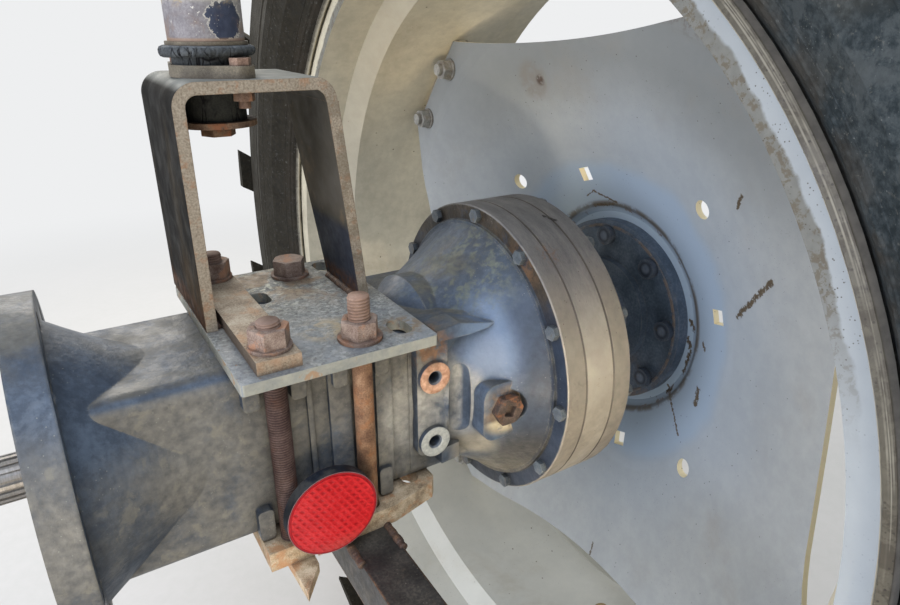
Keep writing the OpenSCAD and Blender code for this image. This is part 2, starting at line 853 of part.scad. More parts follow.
wheel_nut_h = 18;
module wheel_nuts() {
    color([0.45, 0.45, 0.45])
    on_circle(wheel_stud_count, wheel_pcr, stud_phase) along_x()
        translate([0, 0, x_disc + disc_t]) difference() {
            nut_body(15.6, wheel_nut_h);
            translate([0, 0, -eps]) cylinder(r = wheel_stud_r, h = wheel_nut_h + 2 * eps);
        }
}

// Meridian of the disc's inboard side, as [radius, distance from the mounting face]
function disc_line() = [
    [spigot_r + 2, 0], [disc_flat_r - 10, 0], [disc_flat_r, -disc_step],
    [rim_pcr - 30, -disc_step - (rim_pcr - 30 - disc_flat_r) * disc_slope],
    [rim_pcr - 16, x_lug - x_disc], [disc_corner * 1.06, x_lug - x_disc]];
function shift(line, d) = [for (p = line) [p[0], p[1] + d]];
function reversed(line) = [for (i = [len(line) - 1:-1:0]) line[i]];
disc_step = 6.4;
x_lug = x_disc - disc_step - (rim_pcr - 24 - disc_flat_r) * disc_slope;
disc_edge_bow = 13;
disc_deep = disc_dish + 60;
disc_hole_r = 10.5;
disc_square = 17;
disc_square_phase = 107.8;

module wheel_disc() {
    color([0.6, 0.6, 0.6])
    difference() {
        along_x() translate([0, 0, x_disc]) rotate_extrude($fn = 128)
            polygon(concat(disc_line(), reversed(shift(disc_line(), disc_t))));
        // Four long edges, slightly hollow, and four short corner edges
        chord = disc_side * 0.67;
        edge_r = (chord * chord + disc_edge_bow * disc_edge_bow) / (2 * disc_edge_bow);
        on_circle(4, disc_side + edge_r, disc_phase + 45) along_x()
            translate([0, 0, x_disc - disc_deep]) cylinder(r = edge_r, h = disc_deep + 50, $fn = 360);
        for (i = [0:3]) rotate([-disc_phase - i * 90, 0, 0])
            translate([x_disc - disc_deep, -2 * disc_corner, -disc_corner])
                cube([disc_deep + 50, disc_corner, 2 * disc_corner]);
        on_circle(wheel_stud_count, wheel_pcr, stud_phase) along_x()
            translate([0, 0, x_disc - eps]) cylinder(r = wheel_stud_r, h = disc_t + 2 * eps);
        on_circle(4, disc_hole_pcr, disc_phase) along_x()
            translate([0, 0, x_disc - 60]) cylinder(r = disc_hole_r, h = 80);
        for (i = [0:3]) rotate([-disc_square_phase - i * 90, 0, 0])
            translate([x_disc - 40, -disc_square_pcr - disc_square / 2, -disc_square / 2])
                cube([60, disc_square, disc_square]);
        rim_bolt_places() along_x() translate([0, 0, x_lug - eps])
            cylinder(r = rim_bolt_r + hole_gap, h = disc_t + 2 * eps);
    }
}

rim_bolt_r = 8;
lug_t = 10;
lug_len = 170;
module rim_bolt_places() {
    for (i = [0:3]) for (s = [-1, 1]) {
        a = disc_phase + i * 90 + s * rim_bolt_angle;
        translate([0, -rim_pcr * cos(a), rim_pcr * sin(a)]) children();
    }
}

// Meridian of the rim's outer side, as [distance from the inboard edge, radius]
flange_h = 25.4;
bead_w = 46;
function rim_line() = [
    [0, rim_r - 8], [3, rim_r - 2], [9, rim_r], [14, rim_r - 5], [15, rim_r - flange_h],
    [15 + bead_w, rim_r - flange_h - 4], [15 + bead_w + 22, well_r],
    [rim_w - 15 - bead_w - 22, well_r], [rim_w - 15 - bead_w, rim_r - flange_h - 4],
    [rim_w - 15, rim_r - flange_h], [rim_w - 14, rim_r - 5], [rim_w - 9, rim_r],
    [rim_w - 3, rim_r - 2], [rim_w, rim_r - 8]];
// The same from the inside, one metal thickness away
function rim_inside() = [
    [rim_w - 4, rim_r - 11], [rim_w - 9, rim_r - 8], [rim_w - 9, rim_r - flange_h - rim_t],
    [rim_w - 15 - bead_w + 2, rim_r - flange_h - 4 - rim_t],
    [rim_w - 15 - bead_w - 20, well_r - rim_t], [15 + bead_w + 20, well_r - rim_t],
    [15 + bead_w - 2, rim_r - flange_h - 4 - rim_t], [9, rim_r - flange_h - rim_t],
    [9, rim_r - 8], [4, rim_r - 11]];

module rim() {
    color([0.8, 0.76, 0.66])
    difference() {
        along_x() translate([0, 0, x_rim_in]) rotate_extrude($fn = 128)
            polygon([for (p = concat(rim_line(), rim_inside())) [p[1], p[0]]]);
        rotate([valve_angle, 0, 0]) translate([x_rim_in + rim_w / 2, 0, well_r - 20])
            cylinder(r = valve_r, h = 40);
    }
}

// Four welded lugs inside the rim; each carries two bolts of the disc
module rim_lugs() {
    color([0.6, 0.58, 0.52])
    difference() {
        for (i = [0:3]) rotate([-disc_phase - i * 90, 0, 0])
            translate([x_lug + disc_t, -well_r, -lug_len / 2])
                cube([lug_t, well_r - rim_pcr + 15, lug_len]);
        difference() {
            along_x() translate([0, 0, x_lug]) cylinder(r = rim_r + lug_len, h = 40);
            along_x() translate([0, 0, x_lug - eps]) cylinder(r = well_r - rim_t, h = 42, $fn = 128);
        }
        rim_bolt_places() along_x() translate([0, 0, x_lug])
            cylinder(r = rim_bolt_r + hole_gap, h = 40);
    }
}

// Each rim bolt with its washer and nut on the disc's inboard side
rim_nut_r = 13.8;
rim_nut_h = 13;
bolt_end = 6;
module rim_bolts() {
    reach = washer_t + rim_nut_h + bolt_end;
    color([0.6, 0.6, 0.58])
    rim_bolt_places() along_x() {
        translate([0, 0, x_lug - washer_t]) cylinder(r = rim_nut_r + 1.2, h = washer_t);
        translate([0, 0, x_lug - washer_t]) rotate([180, 0, 0]) nut_body(rim_nut_r, rim_nut_h);
        translate([0, 0, x_lug - reach]) cylinder(r = rim_bolt_r, h = reach + disc_t + lug_t);
        translate([0, 0, x_lug + disc_t + lug_t]) hexagon(rim_nut_r, 10);
    }
}

// Tyre section on one side, from its bead to the middle of the crown, as
// [distance from the middle, radius]; crown is the radius that the crown reaches
tyre_bead_w = rim_w - 30;
shoulder_drop = 12;
function tyre_half(side, crown, slim) = let (b = tyre_bead_w / 2, w = tyre_w / 2) [
    [side * b, rim_r - flange_h], [side * b, rim_r - 2], [side * (b + 14), rim_r + 8],
    [side * (w - 8), rim_r + 42], [side * w, rim_r + 84], [side * (w - 2 - slim), rim_r + 130],
    [side * (w - 4 - 1.6 * slim), crown - 44], [side * (w - 14 - 2 * slim), crown - shoulder_drop],
    [side * 120, crown - 3], [side * 60, crown]];

// The hollow of the tyre on one side, from its bead to the middle of the crown
side_t = 20;
function tyre_inside(side) = let (b = tyre_bead_w / 2, w = tyre_w / 2) [
    [side * (b - 30), rim_r - flange_h], [side * (b - 22), rim_r + 10],
    [side * (w - side_t), rim_r + 84], [side * (w - side_t - 4), rim_r + 130],
    [side * (w - 60), tyre_r - lug_h - 40], [side * 70, tyre_r - lug_h - 32]];

module tyre_body(crown, slim) {
    along_x() translate([0, 0, x_wheel_mid]) rotate_extrude()
        polygon([for (p = concat(tyre_half(-1, crown, slim), reversed(tyre_half(1, crown, slim)),
            tyre_inside(1), reversed(tyre_inside(-1)))) [p[1], p[0]]]);
}

// Outline of one lug, in shares of half the tyre's width and of the lugs' spacing
lug_line = [[-0.05, 0.1], [0.3, -0.25], [0.65, -0.49], [1.06, -0.69],
    [1.06, -0.99], [0.65, -0.76], [0.3, -0.53], [-0.05, -0.16]];
module tread_lugs() {
    pitch = 2 * PI * tyre_r / tread_count;
    root = tyre_r - lug_h - 28;
    for (side = [0, 1]) for (i = [0:tread_count - 1])
        rotate([-(i + side / 2) * 360 / tread_count, 0, 0]) translate([x_wheel_mid, -root, 0])
            to_rear() linear_extrude(height = tyre_r - root + 10) polygon([for (p = lug_line)
                [(side - 0.5) * p[0] * tyre_w, (p[1] + 0.4) * pitch]]);
}

// A plain carcass with lugs that run from the middle of the tread over its shoulders
module tyre() {
    color([0.1, 0.1, 0.11]) {
        tyre_body(tyre_r - lug_h, 8);
        intersection() {
            tread_lugs();
            tyre_body(tyre_r, 0);
        }
    }
}

valve_angle = 160;
valve_r = 8;
module valve_stem() {
    color([0.55, 0.45, 0.25])
    rotate([valve_angle, 0, 0]) translate([x_rim_in + rim_w / 2, 0, well_r - rim_t - 34])
        cylinder(r = valve_r, h = 34 + rim_t + 3);
}

half_shaft_r = 20;
spline_len = 60;
spline_count = 18;
module half_shaft() {
    color([0.45, 0.44, 0.42])
    along_x() {
        translate([0, 0, -spline_len]) cylinder(r = half_shaft_r - 3, h = spline_len + eps);
        difference() {
            translate([0, 0, -spline_len + 4]) cylinder(r = half_shaft_r, h = spline_len - 10);
            for (i = [0:spline_count - 1]) rotate([0, 0, i * 360 / spline_count])
                translate([half_shaft_r - 2.6, -1.7, -spline_len]) cube([6, 3.4, spline_len]);
        }
        cylinder(r = half_shaft_r, h = x_ring + 11);
    }
}

axle_housing();
axle_bell();
ring_gear_case();
outer_cover();
gear_block();
case_bolts();
fill_plug();
seal_carrier();
shaft_seal();
top_clamp_plate();
strap_plate();
clamp_studs();
clamp_nuts();
clamp_washers();
lower_clamp_plate();
portal_bracket();
mount_flange_plate();
mount_flange_bolts();
mount_rubber_upper();
mount_rubber_lower();
mount_top_washer();
mount_snub_washer();
mount_bolt();
cab_foot();
reflector_lens();
reflector_body();
reflector_bracket();
rear_beam();
hub_shaft();
wheel_studs();
wheel_nuts();
wheel_disc();
rim();
rim_lugs();
rim_bolts();
tyre();
valve_stem();
half_shaft();
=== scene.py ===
# Looks of a tractor's rear axle end with its wheel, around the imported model.
import math

import bpy
from mathutils import Matrix, Vector, noise


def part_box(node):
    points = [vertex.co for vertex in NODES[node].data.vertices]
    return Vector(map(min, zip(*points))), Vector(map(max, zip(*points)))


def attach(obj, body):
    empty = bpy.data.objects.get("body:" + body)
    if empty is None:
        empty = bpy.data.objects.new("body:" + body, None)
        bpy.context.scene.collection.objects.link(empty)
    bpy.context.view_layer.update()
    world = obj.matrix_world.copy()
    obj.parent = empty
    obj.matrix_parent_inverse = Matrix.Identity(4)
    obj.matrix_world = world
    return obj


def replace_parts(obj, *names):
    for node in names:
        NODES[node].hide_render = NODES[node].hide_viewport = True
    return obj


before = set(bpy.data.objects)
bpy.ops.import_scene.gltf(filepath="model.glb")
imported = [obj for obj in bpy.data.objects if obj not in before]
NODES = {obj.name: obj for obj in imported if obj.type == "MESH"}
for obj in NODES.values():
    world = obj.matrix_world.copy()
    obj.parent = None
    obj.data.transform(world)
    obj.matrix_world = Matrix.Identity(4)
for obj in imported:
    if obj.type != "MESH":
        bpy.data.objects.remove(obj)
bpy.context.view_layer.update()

# Camera at the photograph's place, in the row frame
CAM_AT = Vector((0.050, -0.5756, 0.3525))
CAM_YAW = math.radians(32.526)
CAM_PITCH = math.radians(23.405)
CAM_ROLL = math.radians(0.514)
CAM_LENS_MM = 26.426
CAM_SENSOR_MM = 36
CAM_SHIFT = (-0.0074, 0.0042)

# Stations that the finishes and shapes go by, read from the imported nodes
X_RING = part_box("ring_gear_case")[0].x
X_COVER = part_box("outer_cover")[0].x
CASE_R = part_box("ring_gear_case")[1].z
PLATE_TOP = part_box("top_clamp_plate")[1].z
RIM_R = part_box("rim")[1].z
TYRE_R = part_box("tyre")[1].z
FLOOR_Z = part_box("tyre")[0].z - 0.002

# The red lens's middle and radius, and the wheel studs' circle: radius, count, angle of one in degrees
LENS_X, LENS_Z, LENS_R = 0.211, -0.054, 0.0395
WHEEL_STUDS = (0.1016, 8, -5.4)

# Light from all around, of the background's colour: what the background shows, and what falls on things
BACKGROUND = (238, 239, 240)
AMBIENT = 0.7


def placed(name, data):
    """A new object in the scene."""
    obj = bpy.data.objects.new(name, data)
    bpy.context.scene.collection.objects.link(obj)
    return obj


def make_camera():
    """Turned by its yaw and pitch, then rolled about the line of sight."""
    forward = Vector((math.sin(CAM_YAW) * math.cos(CAM_PITCH),
                      math.cos(CAM_YAW) * math.cos(CAM_PITCH), -math.sin(CAM_PITCH)))
    right = Vector((math.cos(CAM_YAW), -math.sin(CAM_YAW), 0))
    up = right.cross(forward)
    c, s = math.cos(CAM_ROLL), math.sin(CAM_ROLL)
    x_axis, y_axis = c * right + s * up, -s * right + c * up
    data = bpy.data.cameras.new("camera")
    data.lens, data.sensor_width, data.sensor_fit = CAM_LENS_MM, CAM_SENSOR_MM, "HORIZONTAL"
    data.shift_x, data.shift_y = CAM_SHIFT
    data.clip_start = 0.01
    camera = placed("camera", data)
    rotation = Matrix((x_axis, y_axis, -forward)).transposed().to_4x4()
    camera.matrix_world = Matrix.Translation(CAM_AT) @ rotation
    bpy.context.scene.camera = camera


def linear(rgb):
    """A colour given as 0 to 255 in sRGB, as Blender's linear colour."""
    part = [v / 255 for v in rgb]
    return [(v / 12.92 if v <= 0.04045 else ((v + 0.055) / 1.055) ** 2.4) for v in part] + [1.0]


def link(tree, source, target):
    """Joins a socket to an input, or sets the input to a plain value."""
    if isinstance(source, bpy.types.NodeSocket):
        tree.links.new(source, target)
    else:
        target.default_value = source


def add_node(tree, kind, inputs, **settings):
    """A shader node with its settings made and its inputs, by name or number, set or linked."""
    node = tree.nodes.new("ShaderNode" + kind)
    for name, value in settings.items():
        setattr(node, name, value)
    for key, value in inputs.items():
        link(tree, value, node.inputs[key])
    return node


class Finish:
    """One procedural material. Masks are sockets from 0 to 1; coat() lays a colour by a mask."""

    def __init__(self, name, roughness=0.5, metallic=0.0, specular=0.4, soft=0.0012):
        """soft is the radius in metres that shading gives to sharp edges, or None."""
        self.material = bpy.data.materials.new(name)
        self.material.use_nodes = True
        self.tree = self.material.node_tree
        self.shader = self.tree.nodes["Principled BSDF"]
        self.give("Roughness", roughness)
        self.give("Metallic", metallic)
        self.give("Specular IOR Level", specular)
        self.place = self.add("TexCoord", {}).outputs["Object"]
        self.surface = self.add("NewGeometry", {})
        self.rounded = self.add("Bevel", {"Radius": soft}, samples=2).outputs[0] if soft else None
        self.colour = None

    def add(self, kind, inputs, **settings):
        return add_node(self.tree, kind, inputs, **settings)

    def give(self, name, source):
        link(self.tree, source, self.shader.inputs[name])

    def stretch(self, scale, turn=(0, 0, 0)):
        """The place, scaled along each axis, for patterns that are longer one way."""
        return self.add("Mapping", {"Vector": self.place, "Scale": scale, "Rotation": turn}).outputs[0]

    def noise(self, scale, detail=4.0, rough=0.55, bend=0.0, at=None):
        return self.add("TexNoise", {"Vector": at or self.place, "Scale": scale, "Detail": detail,
                                     "Roughness": rough, "Distortion": bend}).outputs["Fac"]

    def cells(self, scale, feature="F1", at=None):
        node = self.add("TexVoronoi", {"Vector": at or self.place, "Scale": scale}, feature=feature)
        return node.outputs["Distance"]

    def math(self, operation, *values):
        return self.add("Math", dict(enumerate(values)), operation=operation).outputs[0]

    def vector(self, operation, *values):
        node = self.add("VectorMath", dict(enumerate(values)), operation=operation)
        return node.outputs["Value" if operation in ("DISTANCE", "DOT_PRODUCT") else "Vector"]

    def plus(self, a, b):
        return self.math("ADD", a, b)

    def both(self, *masks):
        """Masks multiplied: 1 where all of them are."""
        found = masks[0]
        for mask in masks[1:]:
            found = self.math("MULTIPLY", found, mask)
        return found

    def away(self, value, middle):
        """How far a value is from a middle one, either way."""
        return self.math("ABSOLUTE", self.math("SUBTRACT", value, middle))

    def step(self, value, low, high, out_low=0.0, out_high=1.0):
        """0 at low and 1 at high, smoothly; low may be the larger of the two."""
        return self.add("MapRange", {"Value": value, "From Min": low, "From Max": high, "To Min": out_low,
                                     "To Max": out_high}, interpolation_type="SMOOTHSTEP").outputs[0]

    def tones(self, value, *colours):
        """Colours spread over the middle of a noise value, from the lowest to the highest."""
        node = self.add("ValToRGB", {0: value})
        ramp = node.color_ramp
        while len(ramp.elements) < len(colours):
            ramp.elements.new(0.5)
        for i, (element, rgb) in enumerate(zip(ramp.elements, colours)):
            element.position = 0.3 + 0.42 * i / (len(colours) - 1)
            element.color = linear(rgb)
        return node.outputs[0]

    def ground(self, scale, *colours, at=None, fine=0.25):
        """The first colours: broad blotches with a finer grain over them."""
        grain = self.step(self.noise(scale * 12, 6, 0.7, 0.0, at), 0.3, 0.7, -0.5 * fine, 0.5 * fine)
        self.colour = self.tones(self.plus(self.noise(scale, 6, 0.6, 0.2, at), grain), *colours)

    def coat(self, mask, *colours, amount=1.0, grain=140):
        """Lays a colour, or a fine mixture of them, where the mask or all of several masks are 1."""
        if isinstance(mask, tuple):
            mask = self.both(*mask)
        over = linear(colours[0]) if len(colours) == 1 else self.tones(self.noise(grain, 5), *colours)
        if amount != 1.0:
            mask = self.math("MULTIPLY", mask, amount)
        mixed = self.add("Mix", {"Factor": mask, "A": self.colour, "B": over}, data_type="RGBA")
        self.colour = mixed.outputs["Result"]

    def spots(self, scale, low, high, detail=7.0, at=None):
        """Blotches of noise: 1 inside, 0 outside."""
        return self.step(self.noise(scale, detail, 0.68, 0.3, at), low, high)

    def specks(self, scale, size, spread, some=(0.45, 0.6)):
        """Small dots, in some places more than in others."""
        dots = self.step(self.cells(scale), size, size * 0.5)
        return self.both(dots, self.step(self.noise(spread, 2), *some))

    def axis(self, name, at=None):
        return self.add("SeparateXYZ", {0: at or self.place}).outputs[name]

    def above(self, name, low, high):
        """0 where the row frame's coordinate is low, 1 where it is high."""
        return self.step(self.axis(name), low, high)

    def facing(self, name, low, high):
        """1 where the surface's normal points along a row axis."""
        return self.step(self.axis(name, self.surface.outputs["Normal"]), low, high)

    def near(self, centre, reach, inner=0.0, at=None):
        """1 at a point of the row frame, falling to 0 at reach metres from it."""
        return self.step(self.vector("DISTANCE", at or self.place, centre), reach, inner)

    def streak(self, start, end, width, at=None):
        """1 on a line between two points of the row frame, ragged at its edges."""
        start, along = Vector(start), Vector(end) - Vector(start)
        offset = self.vector("SUBTRACT", at or self.place, start)
        share = self.math("DIVIDE", self.vector("DOT_PRODUCT", offset, along), along.length_squared)
        share = self.math("MINIMUM", self.math("MAXIMUM", share, 0.0), 1.0)
        nearest = self.add("VectorMath", {0: along, "Scale": share}, operation="SCALE").outputs[0]
        off = self.vector("DISTANCE", offset, nearest)
        ragged = self.plus(off, self.step(self.noise(260, 4), 0.35, 0.65, -0.5 * width, 0.5 * width))
        return self.step(ragged, width, 0.4 * width)

    def length(self, a, b):
        return self.math("SQRT", self.plus(self.both(a, a), self.both(b, b)))

    def radius(self):
        """Distance from the axle's own axis."""
        return self.length(self.axis("Y"), self.axis("Z"))

    def from_circle(self, radius, count, first):
        """Distance from the nearest of count points, evenly spaced on a circle round the axle."""
        turn = self.math("SUBTRACT", self.math("ARCTAN2", self.axis("Z"), self.axis("Y")), math.radians(first))
        turn = self.math("WRAP", turn, math.pi / count, -math.pi / count)
        r = self.radius()
        return self.length(self.both(r, turn), self.math("SUBTRACT", r, radius))

    def edges(self):
        """1 on edges that wear, 0 on flats."""
        dot = self.vector("DOT_PRODUCT", self.rounded, self.surface.outputs["Normal"])
        return self.step(self.math("SUBTRACT", 1.0, dot), 0.02, 0.12)

    def worn(self, scale, low, high):
        """Edges that wear, in patches."""
        return self.both(self.edges(), self.spots(scale, low, high))

    def hollows(self, reach, low=0.35, high=0.85):
        """1 in corners and gaps where dirt stays, 0 in the open."""
        return self.step(self.add("AmbientOcclusion", {"Distance": reach}, samples=2).outputs["AO"], high, low)

    def relief(self, height, depth, strength=0.6):
        """Bump of that depth in metres, over edges rounded by the finish's soft radius."""
        inputs = {"Strength": strength, "Distance": depth, "Height": height}
        if self.rounded:
            inputs["Normal"] = self.rounded
        self.give("Normal", self.add("Bump", inputs).outputs[0])

    def gloss(self, low, high, scale=50):
        """Roughness that wanders between two values."""
        self.give("Roughness", self.step(self.noise(scale, 5), 0.3, 0.7, low, high))

    def made(self):
        self.give("Base Color", self.colour)
        return self.material


def cast_paint():
    """Blue-grey paint on a sand casting: mossy on top, dusty with painted light on its walls, paler low down as
    painted light from below, with a painted sheen and painted shade on the bell.
    """
    f = Finish("cast_paint", 0.42, 0.0, 0.22, soft=0.003)
    f.ground(12, (58, 67, 79), (72, 83, 97), (92, 105, 121), fine=0.2)
    f.coat(f.spots(30, 0.56, 0.68), (118, 128, 140), amount=0.35)
    # The bell: a painted blue sheen and highlight, painted shade on a dark shoulder, and a cream patch under the
    # plug of dust and painted bounce light
    # Painted sheen: a blue reflection of the sky on the bell, with a paler painted highlight below it
    f.coat(f.near((0.402, -0.103, 0.066), 0.062, 0.018), (108, 130, 160), (130, 150, 178), amount=0.78, grain=40)
    f.coat(f.near((0.392, -0.102, 0.046), 0.032, 0.008), (134, 140, 145), amount=0.35)
    # Painted shade on the bell's outer part, below its top
    f.coat((f.above("X", 0.398, 0.424), f.above("Z", 0.13, 0.08)), (38, 46, 58), (54, 63, 76), amount=0.85)
    f.coat((f.above("Z", -0.015, -0.06), f.above("X", 0.385, 0.41)), (52, 50, 45), (76, 71, 63), amount=0.8)
    # Cream patch under the plug: dust, and painted light bounced from below
    f.coat(f.near((0.378, -0.095, -0.06), 0.034, 0.012), (140, 132, 112), (182, 171, 148), amount=0.8, grain=60)
    # Moss and dirt on top; dust and painted light on the walls and round the bosses
    moss = f.near((0.40, -0.03, 0.12), 0.09, 0.03)
    f.coat((moss, f.spots(70, 0.46, 0.58)), (84, 90, 80), (124, 128, 108), amount=0.6)
    grime = f.near((0.4, -0.02, 0.14), 0.06, 0.02)
    f.coat((grime, f.spots(24, 0.3, 0.6)), (52, 50, 44), (74, 70, 60), amount=0.6)
    f.coat((f.facing("Z", 0.75, 0.95), f.spots(24, 0.34, 0.6)), (80, 76, 66), (108, 104, 90), amount=0.65)
    # Painted light as well as dust: the walls and pads that face the rear are paler
    wall = f.both(f.facing("Y", -0.7, -0.95), f.above("X", 0.35, 0.32))
    f.coat((wall, f.spots(14, 0.25, 0.54)), (104, 102, 96), (142, 138, 127), amount=0.85)
    f.coat((wall, f.spots(60, 0.54, 0.64)), (142, 138, 124), amount=0.55)
    pad = f.both(f.facing("Y", -0.6, -0.9), f.near((0.334, -0.09, 0.0), 0.064, 0.044))
    f.coat((pad, f.spots(26, 0.3, 0.6)), (158, 158, 151), (194, 190, 179), amount=0.88)
    # Painted light bounced from below: paler and warmer low down
    f.coat((f.above("Z", -0.05, -0.15), f.spots(18, 0.3, 0.58)), (120, 114, 100), (146, 139, 121), amount=0.85)
    # The dark flange round the bell, grimy at its top
    ring = f.both(f.above("X", 0.4365, 0.439), f.step(f.radius(), 0.1505, 0.1525))
    f.coat(ring, (36, 45, 58), (54, 64, 79), amount=0.9, grain=60)
    f.coat((ring, f.above("Z", 0.06, 0.12), f.spots(40, 0.3, 0.5)), (40, 36, 31), (74, 64, 50), amount=0.95)
    f.coat(f.worn(60, 0.42, 0.58), (142, 139, 124), (176, 170, 150), amount=0.55)
    f.coat((f.hollows(0.025, 0.3, 0.8), f.spots(22, 0.25, 0.6)), (36, 35, 34), amount=0.85)
    # The upper boss rusty on its face and above it, the lower one bare
    boss_x, boss_y, boss_z, boss_r = 0.332, -0.0962, 0.0365, 0.0178
    face = f.above("Y", boss_y + 0.0004, boss_y - 0.0002)
    for z, dark, light, grain in ((boss_z, (158, 110, 82), (226, 186, 156), 190),
                                  (-boss_z, (172, 173, 164), (210, 209, 196), 300)):
        f.coat((f.near((boss_x, boss_y, z), boss_r, boss_r - 0.001), face), dark, light, grain=grain)
    above_boss = f.near((0.330, -0.09, 0.068), 0.03, 0.008)
    f.coat((above_boss, f.spots(90, 0.4, 0.54)), (96, 74, 58), (150, 112, 82), amount=0.9)
    seat = f.both(f.near((0.398, -0.12, -0.006), 0.033, 0.018), f.facing("Y", -0.9, -0.97))
    f.coat((seat, f.spots(60, 0.35, 0.55)), (120, 96, 74), (150, 132, 108), amount=0.8)
    f.coat((seat, f.above("Z", -0.014, -0.02), f.spots(50, 0.3, 0.45)), (184, 172, 142), (206, 196, 168))
    rust = f.both(f.near((0.44, -0.085, 0.128), 0.035, 0.01), ring, f.spots(120, 0.42, 0.55))
    f.coat(rust, (100, 78, 58), amount=0.8)
    f.coat(f.specks(260, 0.13, 20, (0.5, 0.6)), (170, 172, 160), amount=0.6)
    f.gloss(0.32, 0.56, 45)
    f.relief(f.plus(f.noise(240, 6, 0.65), f.both(f.noise(30, 3), 1.8)), 0.0011, 0.5)
    return f.made()


def case_metal():
    """Bare turned bands, dark on top and paler lower down as painted light bounced from below, with a thin dark
    joint between them.
    """
    f = Finish("case_metal", 0.5, 0.15, 0.35, soft=None)
    f.ground(20, (92, 91, 91), (108, 107, 106), (124, 122, 119), at=f.stretch((5, 1, 1)))
    # Painted light: the bands are paler below their top, where light bounced from below falls
    f.coat(f.above("Z", 0.14, 0.04), (156, 149, 137), (186, 180, 165), amount=0.88, grain=34)
    f.coat((f.above("Z", 0.06, -0.03), f.spots(20, 0.2, 0.45)), (116, 111, 103), (140, 134, 122), amount=0.85)
    side = f.math("MAXIMUM", f.above("X", X_RING, X_RING - 0.002), f.above("X", X_COVER, X_COVER + 0.002))
    f.coat((side, f.above("Z", 0.14, 0.09)), (110, 104, 95), (130, 123, 111), amount=0.65)
    f.coat(f.spots(9, 0.54, 0.72), (98, 92, 86), amount=0.45)
    f.coat(f.spots(26, 0.6, 0.72, 8), (78, 68, 58), amount=0.4)
    for x in (X_RING, X_COVER):  # the dark joints, with a thin pale line beside each
        off = f.away(f.axis("X"), x)
        f.coat(f.step(off, 0.0017, 0.0009), (60, 55, 49), amount=0.9)
        f.coat((f.step(f.away(off, 0.0020), 0.0005, 0.0002), f.spots(60, 0.5, 0.6)), (160, 154, 138), amount=0.5)
    f.coat((f.near((X_RING, -0.095, 0.137), 0.02, 0.004), f.spots(200, 0.5, 0.6)), (112, 84, 64), amount=0.6)
    f.coat(f.streak((X_COVER - 0.004, -0.047, 0.162), (X_COVER + 0.003, -0.058, 0.158), 0.0028), (38, 34, 32))
    f.coat(f.specks(150, 0.1, 9), (58, 42, 30), amount=0.9)
    f.gloss(0.4, 0.62, 40)
    f.relief(f.noise(90, 6, 0.7, at=f.stretch((3, 1, 1))), 0.0003, 0.5)
    return f.made()


def rusty(name, dark, mid, light, bloom=None, relief=0.0006):
    """Rust in three tones with pits; bloom is a brighter rust in patches."""
    f = Finish(name, 0.75, 0.0, 0.25, soft=0.0011)
    f.ground(75, dark, mid, light)
    if bloom:
        f.coat(f.spots(45, 0.5, 0.62), bloom, amount=0.75)
    f.coat(f.worn(150, 0.35, 0.6), [min(255, c + 22) for c in light], amount=0.45)
    f.coat(f.hollows(0.008), (52, 40, 34), amount=0.6)
    f.coat(f.specks(420, 0.2, 60), (46, 34, 30), amount=0.6)
    f.relief(f.noise(420, 6, 0.7), relief, 0.6)
    f.gloss(0.6, 0.85, 150)
    return f.made()


def thread_rust(name, dark, mid, light, bloom):
    """Rust on a threaded rod, with black dirt between the threads."""
    f = Finish(name, 0.75, 0.0, 0.2, soft=0.0003)
    f.ground(60, dark, mid, light)
    f.coat(f.spots(40, 0.5, 0.64), bloom, amount=0.7)
    crest = f.surface.outputs["Pointiness"]
    f.coat(f.step(crest, 0.5, 0.42), (30, 22, 20), amount=0.8)
    f.coat(f.step(crest, 0.53, 0.62), [min(255, c + 18) for c in light], amount=0.4)
    f.coat(f.hollows(0.01), (44, 34, 30), amount=0.5)
    ends = f.above("Z", PLATE_TOP + 0.012, PLATE_TOP + 0.022)
    f.coat(ends, (116, 94, 82), (154, 132, 118), amount=0.75, grain=90)
    f.relief(f.noise(420, 6, 0.7), 0.0003, 0.6)
    return f.made()


def plate_steel():
    """Grey steel, bluish at its rear edge, with lichen, rust stains and pale edges."""
    f = Finish("plate_steel", 0.6, 0.0, 0.35)
    f.ground(26, (96, 100, 99), (120, 122, 119), (144, 144, 138), fine=0.35)
    f.coat(f.spots(170, 0.5, 0.6, 8), (170, 172, 166), amount=0.6)
    f.coat(f.spots(230, 0.53, 0.6, 8), (72, 68, 62), amount=0.65)
    f.coat((f.above("Y", 0.0, -0.09), f.spots(20, 0.34, 0.6)), (112, 122, 134), (140, 147, 152), amount=0.6)
    f.coat((f.near((0.21, 0.075, PLATE_TOP), 0.1, 0.03), f.spots(110, 0.5, 0.58, 9)),
           (156, 156, 140), (204, 204, 188), grain=260)
    f.coat((f.above("Y", -0.03, 0.06), f.spots(26, 0.46, 0.6)), (104, 84, 60), (150, 122, 88), amount=0.75)
    f.coat((f.near((0.24, -0.06, PLATE_TOP), 0.035, 0.01), f.spots(50, 0.4, 0.6)), (166, 150, 118), amount=0.75)
    f.coat((f.near((0.303, -0.088, PLATE_TOP), 0.028, 0.012), f.spots(90, 0.4, 0.55)), (124, 104, 76), amount=0.8)
    f.coat(f.specks(230, 0.2, 16), (62, 48, 38), amount=0.85)
    f.coat(f.specks(120, 0.16, 12), (128, 92, 60), amount=0.7)
    rim = f.math("MAXIMUM", f.facing("Y", -0.7, -0.95), f.facing("X", -0.7, -0.95))
    f.coat(rim, (138, 140, 132), (170, 168, 152), amount=0.85, grain=120)
    f.coat((rim, f.spots(60, 0.56, 0.64)), (164, 124, 84), amount=0.7)
    f.coat(f.worn(70, 0.35, 0.55), (190, 184, 164), amount=0.6)
    f.coat(f.hollows(0.015), (66, 58, 50), amount=0.55)
    f.relief(f.noise(300, 7, 0.7), 0.0005, 0.5)
    f.gloss(0.48, 0.75, 90)
    return f.made()


